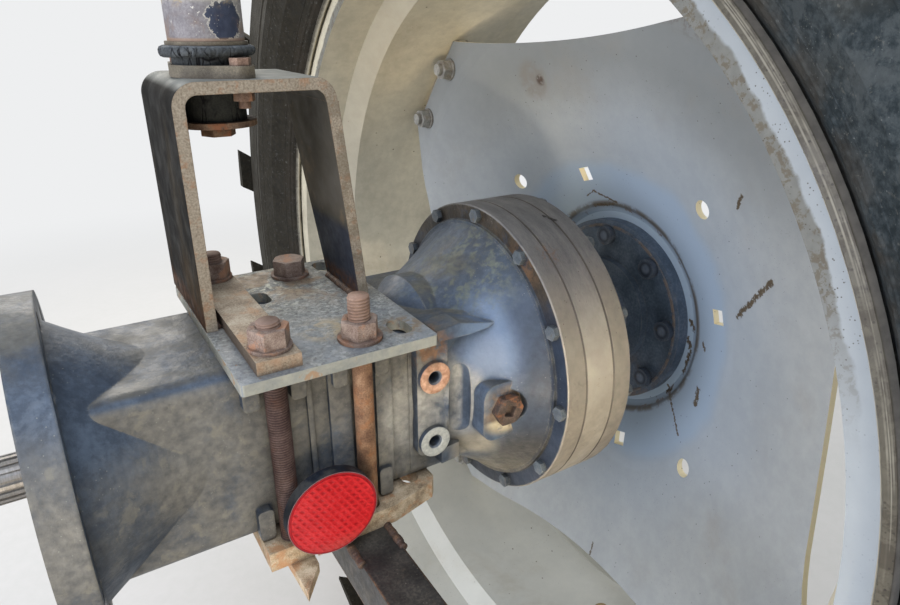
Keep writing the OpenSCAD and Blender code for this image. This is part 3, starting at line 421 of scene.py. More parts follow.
def strap_rust():
    """Brown flat bar: worn pale on top with orange patches, dark on its side."""
    f = Finish("strap_rust", 0.7, 0.0, 0.3)
    f.ground(48, (124, 107, 88), (155, 140, 119), (178, 166, 146), fine=0.35)
    f.coat(f.spots(22, 0.52, 0.66), (172, 128, 88), amount=0.6)
    f.coat(f.specks(300, 0.22, 30), (74, 54, 40), amount=0.85)
    f.coat(f.facing("X", -0.7, -0.95), (58, 50, 44), (84, 73, 62), amount=0.85)
    f.coat((f.facing("Y", -0.7, -0.95), f.spots(50, 0.4, 0.6)), (152, 116, 86), (184, 162, 138), amount=0.8)
    f.coat(f.edges(), (182, 168, 144), amount=0.4)
    f.coat(f.hollows(0.01), (62, 50, 42), amount=0.6)
    f.relief(f.noise(320, 7, 0.7), 0.0005, 0.6)
    return f.made()


def bracket_paint():
    """Dark worn paint, made near black on the inboard leg as painted shade, with brown smears; sawn edges bare,
    speckled and rusty.
    """
    f = Finish("bracket_paint", 0.65, 0.0, 0.03, soft=0.0014)
    # The ground is near black as painted shade on the inboard leg; the outer leg gets its lighter paint below
    f.ground(14, (17, 17, 17), (27, 26, 24), (46, 41, 33), at=f.stretch((1, 1, 0.35)))
    f.coat((f.above("Z", 0.17, 0.12), f.spots(20, 0.4, 0.6, at=f.stretch((1, 1, 0.3)))), (84, 66, 44), amount=0.6)
    outer_leg = f.above("X", 0.255, 0.265)
    f.coat(outer_leg, (58, 55, 48), (84, 80, 70), amount=0.85, grain=22)
    f.coat((outer_leg, f.above("Z", 0.26, 0.2), f.above("Z", 0.17, 0.19)), (98, 93, 84), amount=0.4)
    f.coat((outer_leg, f.spots(30, 0.54, 0.68)), (120, 102, 78), amount=0.35)
    f.coat((outer_leg, f.above("Z", 0.178, 0.164)), (38, 42, 51), (52, 57, 66), amount=0.9)
    f.coat((f.above("Z", 0.124, 0.106), f.spots(120, 0.36, 0.56)), (58, 42, 34), (100, 72, 54), amount=0.95)
    f.coat(f.facing("Z", 0.6, 0.95), (124, 126, 120), (150, 150, 142), amount=0.85, grain=60)
    sawn = f.facing("Y", -0.75, -0.93)
    f.coat(sawn, (122, 111, 95), (146, 136, 120), (166, 157, 141), grain=600)
    f.coat((sawn, f.spots(90, 0.52, 0.64)), (150, 110, 80), amount=0.5)
    f.coat((sawn, f.above("X", 0.2, 0.3), f.spots(60, 0.4, 0.6)), (92, 84, 70), amount=0.5)
    f.coat(f.worn(80, 0.35, 0.55), (116, 92, 68), amount=0.55)
    f.relief(f.noise(200, 6, 0.65), 0.0004, 0.45)
    f.gloss(0.5, 0.75, 40)
    return f.made()


def rubber(name, dark, light):
    """Aged rubber: dry, dusty, with upright cracks."""
    f = Finish(name, 0.8, 0.0, 0.2, soft=0.0018)
    f.ground(60, dark, [(a + b) / 2 for a, b in zip(dark, light)], light)
    lines = f.step(f.cells(150, "DISTANCE_TO_EDGE", f.stretch((1, 1, 0.25))), 0.08, 0.0)
    crack = f.both(lines, f.spots(40, 0.4, 0.55))
    f.coat(crack, (16, 16, 20))
    f.coat((f.facing("Z", 0.5, 0.9), f.spots(70, 0.35, 0.6)), [c + 22 for c in light], amount=0.6)
    f.relief(f.math("SUBTRACT", f.noise(200, 6, 0.7), crack), 0.001, 0.7)
    f.gloss(0.6, 0.85, 60)
    return f.made()


def foot_paint():
    """Chalky mauve-grey paint, flaked to cream at the top, with a dark blue patch."""
    f = Finish("foot_paint", 0.65, 0.0, 0.3)
    f.ground(42, (98, 94, 97), (117, 114, 116), (138, 135, 136))
    f.coat((f.above("X", 0.18, 0.2), f.spots(36, 0.35, 0.6)), (146, 144, 142), amount=0.7)
    ragged = f.step(f.noise(110, 6, 0.7), 0.3, 0.7, -0.3, 0.3)
    bare = f.plus(f.near((0.2045, 0.016, 0.352), 0.022, 0.008), ragged)
    f.coat(f.step(bare, 0.36, 0.42), (196, 192, 178), amount=0.7)
    f.coat(f.step(bare, 0.46, 0.52), (42, 49, 66), (60, 67, 84))
    top = f.both(f.above("Z", 0.362, 0.372), f.spots(60, 0.4, 0.46))
    f.coat(top, (176, 172, 152), (208, 204, 190))
    f.coat((f.above("Z", 0.358, 0.37), f.spots(50, 0.54, 0.62)), (166, 142, 88), amount=0.8)
    f.coat((f.spots(90, 0.6, 0.62), f.above("Z", 0.343, 0.36)), (200, 197, 188))
    f.coat((f.spots(30, 0.52, 0.62), f.above("Z", 0.36, 0.345)), (120, 98, 82), amount=0.6)
    f.coat(f.specks(300, 0.16, 40), (204, 200, 190), amount=0.8)
    f.coat(f.above("Z", 0.3385, 0.3365), (140, 114, 90), amount=0.7)
    f.relief(f.plus(f.noise(200, 6, 0.7), f.both(top, 0.6)), 0.0007, 0.6)
    return f.made()


def reflector_lens():
    """Red lens with slanted rows of small dark prisms."""
    f = Finish("reflector_lens", 0.3, soft=0.0006)
    rows, marks = 152.0, 165.0
    turned = f.stretch((1, 1, 1), turn=(0, math.radians(14), 0))
    z = f.both(f.axis("Z", turned), rows)
    x = f.plus(f.both(f.axis("X", turned), marks), f.both(f.math("FLOOR", z), 0.34))
    lean = f.plus(f.math("FRACT", x), f.both(f.math("FRACT", z), 0.5))
    dash = f.away(f.math("FRACT", lean), 0.5)
    mark = f.both(f.step(dash, 0.34, 0.1), f.step(f.away(f.math("FRACT", z), 0.5), 0.4, 0.12))
    f.ground(40, (182, 26, 30), (196, 34, 38), (210, 48, 50), fine=0.4)
    f.coat(f.step(dash, 0.38, 0.5), (222, 66, 66), amount=0.45)
    f.coat((mark, f.step(f.noise(70, 4), 0.35, 0.6, 0.25, 1.0)), (140, 12, 20), amount=0.75)
    f.coat(f.spots(14, 0.5, 0.7), (212, 72, 66), amount=0.25)
    f.coat((f.above("Z", -0.075, -0.094), f.spots(40, 0.34, 0.6)), (150, 74, 66), amount=0.5)
    f.relief(f.math("SUBTRACT", 1.0, mark), 0.0006, 0.5)
    return f.made()


def black_plastic():
    """Near-black housing of the reflector, with the lens's red edge in its front and a thin painted highlight
    round it.
    """
    f = Finish("black_plastic", 0.45, 0.0, 0.3, soft=0.001)
    f.ground(60, (14, 18, 24), (22, 28, 38), (38, 46, 58))
    f.coat(f.worn(60, 0.3, 0.5), (168, 132, 128), amount=0.8)
    f.coat((f.facing("Z", 0.3, 0.8), f.spots(50, 0.4, 0.6)), (84, 84, 80), amount=0.6)
    off = f.vector("DISTANCE", f.vector("MULTIPLY", f.place, (1, 0, 1)), (LENS_X, 0, LENS_Z))
    front = f.facing("Y", -0.8, -0.95)
    f.coat((front, f.step(off, LENS_R + 0.0024, LENS_R + 0.0019)), (150, 16, 26), (182, 34, 40), amount=0.95)
    # A thin pale pink ring: a painted highlight on the lens's edge
    f.coat((front, f.step(f.away(off, LENS_R + 0.0030), 0.0006, 0.0002)), (196, 128, 126), amount=0.8)
    f.relief(f.noise(200, 4), 0.0003, 0.4)
    f.gloss(0.35, 0.6, 40)
    return f.made()


def beam_paint():
    """Black paint with edges worn to rust, pale scuffs and dust."""
    f = Finish("beam_paint", 0.5, 0.0, 0.35, soft=0.003)
    f.ground(30, (38, 37, 36), (56, 54, 50), (80, 76, 68))
    f.coat(f.spots(24, 0.58, 0.7), (104, 94, 80), amount=0.6)
    f.coat(f.worn(45, 0.36, 0.52), (112, 78, 54), (164, 122, 84))
    f.coat(f.specks(240, 0.14, 24), (134, 128, 116), amount=0.7)
    f.relief(f.noise(160, 6, 0.65), 0.0006, 0.5)
    f.gloss(0.4, 0.65, 60)
    return f.made()


def hub_paint():
    """Dark navy paint whose ridge is worn to rusty brown."""
    f = Finish("hub_paint", 0.42, 0.0, 0.45, soft=0.0014)
    f.ground(26, (64, 77, 92), (80, 95, 113), (104, 117, 134))
    ridge = f.step(f.away(f.radius(), 0.113), 0.0026, 0.0012)
    f.coat((ridge, f.spots(46, 0.42, 0.56)), (104, 90, 78), (156, 134, 112), amount=0.72)
    f.coat((f.above("Z", -0.02, -0.09), f.spots(30, 0.4, 0.6)), (112, 92, 74), amount=0.7)
    f.coat(f.spots(14, 0.56, 0.72), (122, 120, 118), amount=0.4)
    f.coat(f.worn(60, 0.4, 0.56), (160, 156, 150), amount=0.5)
    f.relief(f.noise(180, 5, 0.6), 0.0003, 0.45)
    f.gloss(0.34, 0.58, 50)
    return f.made()


def screw_paint(name, dark, mid, light, circle=None):
    """Screw heads with the paint of what they hold: dirty in corners, worn pale on edges.
    A bolt circle's radius, count and first angle in degrees add to each head a ring of painted shade and a
    painted highlight in its middle."""
    f = Finish(name, 0.45, 0.1, soft=0.0009)
    f.ground(90, dark, mid, light)
    if circle:
        off = f.from_circle(*circle)
        # Painted shade round each stud head's edge and a painted highlight in its middle, as on a domed head
        f.coat(f.step(f.away(off, 0.0078), 0.0026, 0.0004), (38, 46, 60), amount=0.65)
        f.coat(f.step(off, 0.0068, 0.0030), (98, 112, 134), (128, 140, 158), amount=0.7)
    f.coat(f.spots(50, 0.54, 0.66), (92, 80, 64), amount=0.6)
    f.coat(f.hollows(0.006), (38, 36, 34), amount=0.7)
    f.coat(f.worn(120, 0.3, 0.5), (152, 154, 150), amount=0.6)
    f.relief(f.noise(400, 5), 0.0003, 0.45)
    return f.made()


# Mud left on the disc's inboard side by twigs and spray: start, end as y, z, and half width, in metres
DISC_MUD = [((-0.203, 0.072), (-0.244, 0.128), 0.0034), ((-0.193, 0.188), (-0.199, 0.202), 0.0022),
            ((-0.104, -0.070), (-0.147, -0.112), 0.0018), ((-0.159, -0.044), (-0.160, -0.064), 0.0036),
            ((-0.129, -0.010), (-0.124, -0.042), 0.0030), ((-0.078, -0.313), (-0.080, -0.333), 0.0018),
            ((0.050, 0.129), (0.015, 0.139), 0.0022), ((-0.122, 0.026), (-0.129, 0.018), 0.0034),
            ((-0.122, 0.004), (-0.127, -0.008), 0.0030), ((-0.150, 0.012), (-0.156, 0.006), 0.0024),
            ((0.047, 0.150), (0.010, 0.142), 0.0016), ((0.060, 0.140), (0.046, 0.151), 0.0012),
            ((-0.104, -0.079), (-0.112, -0.072), 0.0024)]


def disc_paint():
    """Silver-grey paint, bluer near the hub as a painted reflection of the sky, with painted shade high up,
    painted light on its cut edges, mud, specks and a rust stain.
    """
    f = Finish("disc_paint", soft=None)
    f.ground(5, (145, 148, 147), (153, 156, 154), (162, 164, 161), fine=0.2)
    r = f.radius()
    # A painted reflection of the sky: bluer inwards, with a ragged edge and a paler painted line along it;
    # painted shade high up
    inner = f.plus(r, f.step(f.noise(9, 3), 0.3, 0.7, -0.006, 0.006))
    f.coat(f.step(inner, 0.33, 0.19), (144, 157, 170), amount=0.45)
    f.coat(f.step(inner, 0.206, 0.184), (142, 160, 178), amount=0.75)
    f.coat((f.step(f.away(inner, 0.205), 0.008, 0.002), f.spots(12, 0.4, 0.6)), (158, 166, 174), amount=0.4)
    # Painted shade on the disc's upper part near the rim
    f.coat((f.above("Z", 0.1, 0.3), f.step(r, 0.24, 0.33)), (112, 115, 113), amount=0.75)
    f.coat((f.spots(8, 0.5, 0.75), f.step(r, 0.22, 0.3)), (134, 127, 114), amount=0.35)
    # The hub's seat: a pale painted highlight, with a dark line of painted shade in the groove round it and dirt
    # in the groove
    groove = 0.1385
    f.coat(f.step(r, groove - 0.004, groove - 0.007), (158, 176, 192), amount=0.8)
    f.coat(f.step(f.away(r, groove), 0.0035, 0.0008), (76, 80, 86), amount=0.75)
    f.coat((f.step(f.away(r, groove + 0.0015), 0.006, 0.001), f.spots(26, 0.42, 0.56)), (84, 76, 64), amount=0.8)
    f.coat((f.step(f.away(r, groove - 0.0055), 0.006, 0.002), f.spots(60, 0.56, 0.62)), (104, 80, 60), amount=0.8)
    # A rust stain, grime toward the rim, mud, and bright cream painted light on the cut edges
    flat = f.vector("MULTIPLY", f.place, (0, 1, 1))
    f.coat((f.near((0, 0.115, 0.284), 0.03, 0.016, flat), f.spots(60, 0.3, 0.6)), (118, 110, 100), amount=0.6)
    f.coat((f.near((0, 0.103, 0.285), 0.009, 0.003, flat), f.spots(160, 0.35, 0.5)), (74, 58, 46))
    rim_side = f.both(f.near((0, -0.14, 0.36), 0.16, 0.04, flat), f.step(r, 0.36, 0.39))
    f.coat((rim_side, f.spots(30, 0.34, 0.6)), (112, 104, 88), amount=0.6)
    f.coat((rim_side, f.spots(110, 0.5, 0.58, 9)), (84, 68, 50), amount=0.85)
    for start, end, width in DISC_MUD:
        f.coat(f.streak((0, *start), (0, *end), width, flat), (68, 58, 46), (94, 82, 64), grain=300)
    cut = f.step(f.math("ABSOLUTE", f.axis("X", f.surface.outputs["Normal"])), 0.5, 0.3)
    f.coat(cut, (246, 234, 196), amount=0.95)
    f.coat(f.specks(90, 0.075, 7, (0.42, 0.55)), (54, 46, 40))
    f.coat(f.specks(310, 0.12, 11, (0.5, 0.62)), (86, 74, 62), amount=0.8)
    f.relief(f.plus(f.noise(22, 3), f.both(f.noise(260, 4), 0.15)), 0.0008, 0.3)
    f.gloss(0.4, 0.58, 16)
    return f.made()


def rim_paint():
    """Cream paint inside, with painted shade on the cone and at the flange's inner edge high up; at the inboard
    edge a bluish band, then grime with pale scratches.
    """
    f = Finish("rim_paint", soft=None)
    f.ground(6, (172, 165, 144), (188, 180, 157), (202, 194, 170), fine=0.2)
    # Painted shade on the cone, bluish low down
    cone = f.both(f.facing("X", -0.25, -0.4), f.facing("X", -0.85, -0.7))
    f.coat((cone, f.above("Y", -0.1, 0.1)), (146, 139, 120), (160, 152, 132), amount=0.75, grain=20)
    f.coat(f.near((0.52, -0.02, 0.28), 0.2, 0.05), (206, 194, 164), amount=0.5)
    f.coat(f.above("Z", 0.0, -0.3), (178, 181, 176), (192, 195, 190), amount=0.7, grain=12)
    f.coat(f.spots(7, 0.52, 0.72, 8), (150, 136, 110), amount=0.4)
    f.coat(f.specks(60, 0.09, 6), (78, 60, 46), amount=0.9)
    f.coat(f.specks(190, 0.1, 10), (106, 88, 66), amount=0.7)
    # The flange's face: bluish, with painted shade at its inner edge high up and dark specks there
    r = f.radius()
    face = f.both(f.facing("X", -0.8, -0.95), f.above("X", 0.42, 0.415))
    f.coat((face, f.above("Y", 0.1, -0.05)), (136, 144, 150), (150, 158, 163), amount=0.9, grain=14)
    f.coat((face, f.above("Y", 0.1, -0.05), f.above("Z", 0.02, -0.2)), (78, 86, 96), amount=0.95)
    ragged = f.plus(r, f.both(f.noise(30, 5), 0.014))
    shade = f.both(face, f.above("Z", 0.12, 0.24), f.step(ragged, RIM_R - 0.0145, RIM_R - 0.0175))
    f.coat(shade, (92, 92, 86), (106, 106, 99), amount=0.9)
    f.coat((face, f.above("Z", 0.0, 0.2), f.specks(330, 0.2, 40, (0.4, 0.55))), (58, 48, 36), amount=0.85)
    f.coat((shade, f.spots(170, 0.5, 0.58, 8)), (84, 74, 56), amount=0.7)
    # The hook outside it: dark dirt with worn lines round it
    hook = f.step(r, RIM_R - 0.0115, RIM_R - 0.008)
    f.coat(hook, (70, 66, 55), (92, 88, 75), grain=70)
    f.coat((hook, f.spots(70, 0.46, 0.56, 9)), (54, 48, 38), amount=0.8)
    f.coat((hook, f.specks(260, 0.25, 50, (0.35, 0.5))), (40, 34, 27), amount=0.8)
    for off, width, scale in ((0.0056, 0.0007, 9), (0.0044, 0.0004, 16), (0.0033, 0.0006, 12)):
        scratch = f.both(f.step(f.away(r, RIM_R - off), width, 0.2 * width), f.spots(scale, 0.4, 0.62, 4))
        f.coat(scratch, (140, 136, 122), amount=0.7)
    f.coat(f.step(r, RIM_R - 0.0022, RIM_R - 0.0015), (92, 91, 88), (118, 116, 111), amount=0.9)
    f.relief(f.noise(120, 5, 0.6), 0.0004, 0.45)
    f.gloss(0.42, 0.6, 20)
    return f.made()


def zinc():
    """Dull fasteners with brown dirt in their corners."""
    f = Finish("zinc", 0.5, 0.2, soft=0.0008)
    f.ground(110, (118, 118, 113), (144, 143, 136), (170, 167, 158))
    f.coat(f.spots(70, 0.52, 0.66), (116, 102, 82), amount=0.6)
    f.coat(f.hollows(0.006), (72, 60, 48), amount=0.65)
    f.coat(f.worn(120, 0.35, 0.55), (190, 186, 174), amount=0.5)
    f.relief(f.noise(400, 5), 0.0003, 0.45)
    return f.made()


def tyre_rubber():
    """Charcoal rubber with a blue cast, painted shade on its front part, dusty lugs, scratches and fine cracks.
    """
    f = Finish("tyre_rubber", 0.8, 0.0, 0.12, soft=None)
    f.ground(14, (34, 41, 44), (48, 55, 58), (64, 70, 72), fine=0.5)
    f.coat(f.spots(60, 0.5, 0.6, 9), (72, 77, 78), amount=0.6)
    f.coat(f.spots(5, 0.5, 0.7), (78, 75, 66), amount=0.4)
    # Painted shade, tinted brown, on the tyre's front part
    f.coat(f.above("Y", 0.0, 0.2), (30, 26, 18), (44, 39, 28), amount=0.9)
    f.coat((f.step(f.radius(), TYRE_R - 0.05, TYRE_R - 0.01), f.spots(22, 0.36, 0.62)), (106, 98, 82), amount=0.6)
    f.coat((f.step(f.radius(), RIM_R + 0.03, RIM_R + 0.008), f.spots(30, 0.35, 0.6)), (56, 50, 42), amount=0.6)
    f.coat(f.specks(120, 0.07, 9), (120, 124, 124), amount=0.5)
    f.coat(f.specks(340, 0.15, 24), (104, 108, 106), amount=0.7)
    f.coat(f.spots(200, 0.6, 0.66, 9), (96, 96, 90), amount=0.5)
    scratches = ((0.37, -0.405, 0.33), (0.36, -0.43, 0.36)), ((0.365, -0.47, 0.25), (0.36, -0.455, 0.285))
    for start, end in scratches:
        f.coat(f.streak(start, end, 0.0016), (120, 126, 128), amount=0.7)
    f.relief(f.plus(f.noise(140, 7, 0.7), f.both(f.noise(30, 4), 2.0)), 0.0015, 0.6)
    f.gloss(0.65, 0.88, 30)
    return f.made()


def turned_steel(name, rgb):
    """Machined steel with fine turning lines and an oil film."""
    f = Finish(name, 0.4, 0.4, 0.5, soft=0.0008)
    lines = f.noise(120, 3, 0.5, at=f.stretch((8, 1, 1)))
    f.colour = f.tones(lines, [c - 26 for c in rgb], rgb)
    f.coat(f.spots(30, 0.5, 0.7), (92, 76, 56), amount=0.6)
    f.relief(lines, 0.0002, 0.4)
    return f.made()


def weld_metal():
    """Weld beads: dark scale with rust in the ripples."""
    f = Finish("weld_metal", 0.6, 0.1, 0.35, soft=0.0003)
    f.ground(120, (58, 48, 44), (86, 68, 56), (122, 92, 68))
    f.coat(f.hollows(0.004), (38, 30, 28), amount=0.7)
    f.relief(f.noise(500, 5), 0.0003, 0.5)
    return f.made()


def painted_weld():
    """Beads under the rim's cream paint, with rust in their corners."""
    f = Finish("painted_weld", soft=0.0003)
    f.ground(60, (144, 138, 124), (162, 155, 139), (178, 172, 156))
    f.coat(f.hollows(0.004), (112, 92, 68), amount=0.7)
    f.coat(f.spots(60, 0.5, 0.62), (134, 106, 78), amount=0.6)
    return f.made()


def around_circle(count):
    """Cosine and sine of count angles round a full turn."""
    return [(math.cos(2 * math.pi * i / count), math.sin(2 * math.pi * i / count)) for i in range(count)]


def piece(name, verts, faces, material, body="axle"):
    """A smooth mesh object that rides on a body."""
    mesh = bpy.data.meshes.new(name)
    mesh.from_pydata(verts, [], faces)
    mesh.materials.append(material)
    for face in mesh.polygons:
        face.use_smooth = True
    mesh.update()
    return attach(placed(name, mesh), body)


def tube_faces(rings, around, closed=False):
    """Quads between rings of vertices, with a face over each end, or joined into a loop."""
    faces = []
    for i in range(rings if closed else rings - 1):
        a, b = i * around, (i + 1) % rings * around
        for j in range(around):
            k = (j + 1) % around
            faces.append((a + j, a + k, b + k, b + j))
    if not closed:
        faces.append(tuple(reversed(range(around))))
        faces.append(tuple(range((rings - 1) * around, rings * around)))
    return faces


def threaded_rod(name, centre, low, high, thread_from, radius, shank, pitch, material):
    """An upright rod with a rolled thread above thread_from and a plain shank below it."""
    around, per_turn, depth, chamfer = 36, 6, 0.55 * pitch, 0.0012
    runout, flank, wear = 0.004, 1.25, 0.00012
    heights = [low, thread_from - runout] if thread_from > low + runout else []
    start = thread_from if heights else low
    count = int((high - start) / pitch * per_turn)
    heights += [start + (high - start) * i / count for i in range(count + 1)]
    verts = []
    for z in heights:
        for j in range(around):
            angle = 2 * math.pi * j / around
            r = shank
            if z >= start:
                ridge = abs(2 * ((z / pitch - angle / (2 * math.pi)) % 1) - 1)
                r = radius - depth * (1 - min(1, flank * ridge))
                r = min(r, radius - max(0, chamfer - (high - z)))
            r += wear * (noise.noise(Vector((math.cos(angle) * 9, math.sin(angle) * 9, z * 300))) - 1)
            verts.append((centre[0] + r * math.cos(angle), centre[1] + r * math.sin(angle), z))
    return piece(name, verts, tube_faces(len(heights), around), material)


# The clamp studs' radii over the thread and on the plain shank, and their pitches
STUD_R, SHANK_R = 0.010, 0.0093
FINE_PITCH, COARSE_PITCH = 0.0025, 0.0029


def clamp_studs():
    """The four studs: the inner pair threaded all along, the outer pair with plain shanks."""
    low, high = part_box("clamp_studs")
    dark = thread_rust("stud_dark", (66, 48, 45), (88, 70, 64), (112, 92, 84), (96, 66, 52))
    orange = thread_rust("stud_orange", (100, 74, 60), (142, 110, 86), (178, 146, 118), (166, 112, 72))
    points = [v.co for v in NODES["clamp_studs"].data.vertices]
    pairs = (("in", low.x + STUD_R, low.z, STUD_R, FINE_PITCH, dark),
             ("out", high.x - STUD_R, PLATE_TOP + 0.002, SHANK_R, COARSE_PITCH, orange))
    for side, x, thread_from, shank, pitch, material in pairs:
        for end, y in (("rear", low.y + STUD_R), ("front", high.y - STUD_R)):
            top = max(p.z for p in points if math.hypot(p.x - x, p.y - y) < 2 * STUD_R)
            name = f"stud_{end}_{side}"
            rod = threaded_rod(name, (x, y), low.z, top, thread_from, STUD_R, shank, pitch, material)
            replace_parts(rod, "clamp_studs")


def weld(name, path, size, material, body="axle"):
    """A rippled bead along a path of points, half of it sunk in the corner that it fills."""
    ripple, wave, uneven, end_size = 0.0032, 0.16, 0.25, 0.45
    circle, verts, travelled = around_circle(12), [], 0.0
    for i, here in enumerate(path):
        ahead, behind = path[min(i + 1, len(path) - 1)], path[max(i - 1, 0)]
        travelled += (here - path[i - 1]).length if i else 0.0
        along = (ahead - behind).normalized()
        across = along.orthogonal().normalized()
        up = along.cross(across)
        swell = 1 + wave * abs(math.sin(math.pi * travelled / ripple)) + uneven * noise.noise(here * 180)
        swell *= end_size if i in (0, len(path) - 1) else 1.0
        verts += [here + size * swell * (c * across + s * up) for c, s in circle]
    return piece(name, verts, tube_faces(len(path), len(circle)), material, body)


def straight(start, end, step=0.0008):
    """Points along a line, close enough to show a bead's ripples."""
    start, end = Vector(start), Vector(end)
    count = int((end - start).length / step)
    return [start.lerp(end, i / count) for i in range(count + 1)]


# Half widths of the weld beads
FOOT_BEAD, BEAM_BEAD, REFLECTOR_BEAD, LUG_BEAD = 0.0042, 0.0036, 0.0018, 0.004


def welds():
    """Beads at the bracket's feet, along the beam, under the reflector and on the rim's lugs."""
    metal = weld_metal()
    foot_short, beam_short, short = 0.003, 0.004, 0.002  # where beads end, from an edge
    below_top = 0.0175  # the reflector's bead, from the lower plate's top
    low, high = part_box("portal_bracket")
    foot = [v.co for v in NODES["portal_bracket"].data.vertices if v.co.z < low.z + 0.0005]
    right = [p for p in foot if p.x > (low.x + high.x) / 2]
    left = [p for p in foot if p.x < (low.x + high.x) / 2]
    for name, leg, side in (("weld_foot_left", left, max), ("weld_foot_right", right, min)):
        x, y0, y1 = side(p.x for p in leg), min(p.y for p in leg), max(p.y for p in leg)
        weld(name, straight((x, y0 + foot_short, low.z), (x, y1 - foot_short, low.z)), FOOT_BEAD, metal)
    low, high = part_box("rear_beam")
    plate_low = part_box("lower_clamp_plate")
    for name, x in (("weld_beam_left", low.x), ("weld_beam_right", high.x)):
        path = straight((x, plate_low[0].y + beam_short, high.z), (x, high.y - short, high.z))
        weld(name, path, BEAM_BEAD, metal)
    low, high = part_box("reflector_bracket")
    z = plate_low[1].z - below_top
    path = straight((low.x + short, low.y, z), (high.x - short, low.y, z))
    weld("weld_reflector", path, REFLECTOR_BEAD, metal)
    rim_welds(painted_weld())


def rim_welds(material):
    """Beads where the four lugs meet the rim's well, on both sides of each lug."""
    step, at_edge, between_lugs = 0.001, 0.0015, 0.4  # two lengths, and an angle in radians
    points = [v.co for v in NODES["rim_lugs"].data.vertices]
    outer = max(math.hypot(p.y, p.z) for p in points)
    edge = [p for p in points if math.hypot(p.y, p.z) > outer - at_edge]
    sides = min(p.x for p in edge), max(p.x for p in edge)
    turns = sorted(math.atan2(p.z, -p.y) for p in edge)
    lugs, first = [], turns[0]
    for a, b in zip(turns, turns[1:] + [turns[0] + 2 * math.pi]):
        if b - a > between_lugs:
            lugs.append((first, a))
            first = b
    for i, (start, end) in enumerate(lugs):
        count = int((end - start) * outer / step)
        for j, x in enumerate(sides):
            path = [Vector((x, -outer * math.cos(start + (end - start) * k / count),
                            outer * math.sin(start + (end - start) * k / count))) for k in range(count + 1)]
            weld(f"weld_lug_{i}_{j}", path, LUG_BEAD, material, "wheel")


def torn_rubber():
    """The upper rubber of the mount, bulged, split by upright cracks and sagging at one side."""
    low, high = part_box("mount_rubber_upper")
    x, y = (low.x + high.x) / 2, (low.y + high.y) / 2
    outer, around = (high.x - low.x) / 2, 240
    bore, drawn_r, tall = 0.0101, 0.040, 0.015
    lip_from, lip, crack = 0.031, 0.009, 0.24
    crack_depth, fold_depth, sag_depth = 0.0030, 0.0012, 0.0045
    outline = [(bore, 0.0), (0.030, 0.0), (0.0302, 0.0062), (0.0362, 0.0067), (0.0386, 0.0080), (0.0397, 0.0100),
               (0.0398, 0.0122), (0.0386, 0.0140), (0.0360, 0.0149), (bore, tall)]
    verts = []
    for reach, height in outline:
        for j in range(around):
            angle = 2 * math.pi * j / around
            spot = Vector((math.cos(angle) * 14, math.sin(angle) * 14, height * 40))
            split = max(0.0, crack - abs(noise.noise(spot))) / crack
            fold = noise.noise(Vector((math.cos(angle) * 5, math.sin(angle) * 5, 7)))
            rim = max(0.0, (reach - lip_from) / lip)
            r = reach * outer / drawn_r - rim * (crack_depth * split ** 3 + fold_depth * (fold + 0.6))
            sag = rim * sag_depth * max(0.0, -math.cos(angle + 0.5)) * (1 - height / tall)
            verts.append((x + r * math.cos(angle), y + r * math.sin(angle), low.z + height - sag))
    return piece("mount_rubber_torn", verts, tube_faces(len(outline), around, closed=True),
                 rubber("torn_rubber", (50, 54, 56), (88, 92, 94)))


def sidewall_x(radius, side):
    """Where the tyre's side lies at a radius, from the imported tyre."""
    tyre, clear = NODES["tyre"], 0.1
    low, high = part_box("tyre")
    start = Vector((high.x + clear if side > 0 else low.x - clear, -radius, 0.0))
    return tyre.ray_cast(start, Vector((-side, 0, 0)))[1].x


# Ridges moulded round each side of the tyre: how far outside the rim's edge, half width, height
TYRE_RINGS = [(0.013, 0.0022, 0.0016), (0.021, 0.0012, 0.0010), (0.070, 0.0016, 0.0008), (0.112, 0.0022, 0.0014),
              (0.118, 0.0010, 0.0009)]


def tyre_rings(material):
    """The moulded ridges on the tyre's sides."""
    around, across, sunk, skin = 180, 6, 0.0003, 0.0012
    for side in (-1, 1):
        for i, (out, half, tall) in enumerate(TYRE_RINGS):
            verts = []
            radii = [RIM_R + out + half * (2 * k / across - 1) for k in range(across + 1)]
            seats = [sidewall_x(r, side) for r in radii]
            for c, s in around_circle(around):
                for k, (r, x) in enumerate(zip(radii, seats)):
                    rise = tall * math.sin(math.pi * k / across) - sunk
                    verts.append((x + side * rise, -r * c, r * s))
                verts += [(x - side * skin, -r * c, r * s) for r, x in reversed(list(zip(radii, seats)))]
            piece(f"tyre_ridge_{'in' if side < 0 else 'out'}_{i}", verts,
                  tube_faces(around, 2 * (across + 1), closed=True), material, "wheel")


def dress(material, *names):
    """Gives a finish to nodes."""
    for name in names:
        for slot in NODES[name].material_slots:
            slot.material = material


def dress_faces(name, material, test):
    """Gives a second finish to a node's faces that pass a test on their middle and normal."""
    mesh = NODES[name].data
    mesh.materials.append(material)
    for face in mesh.polygons:
        if test(face.center, face.normal):
            face.material_index = len(mesh.materials) - 1


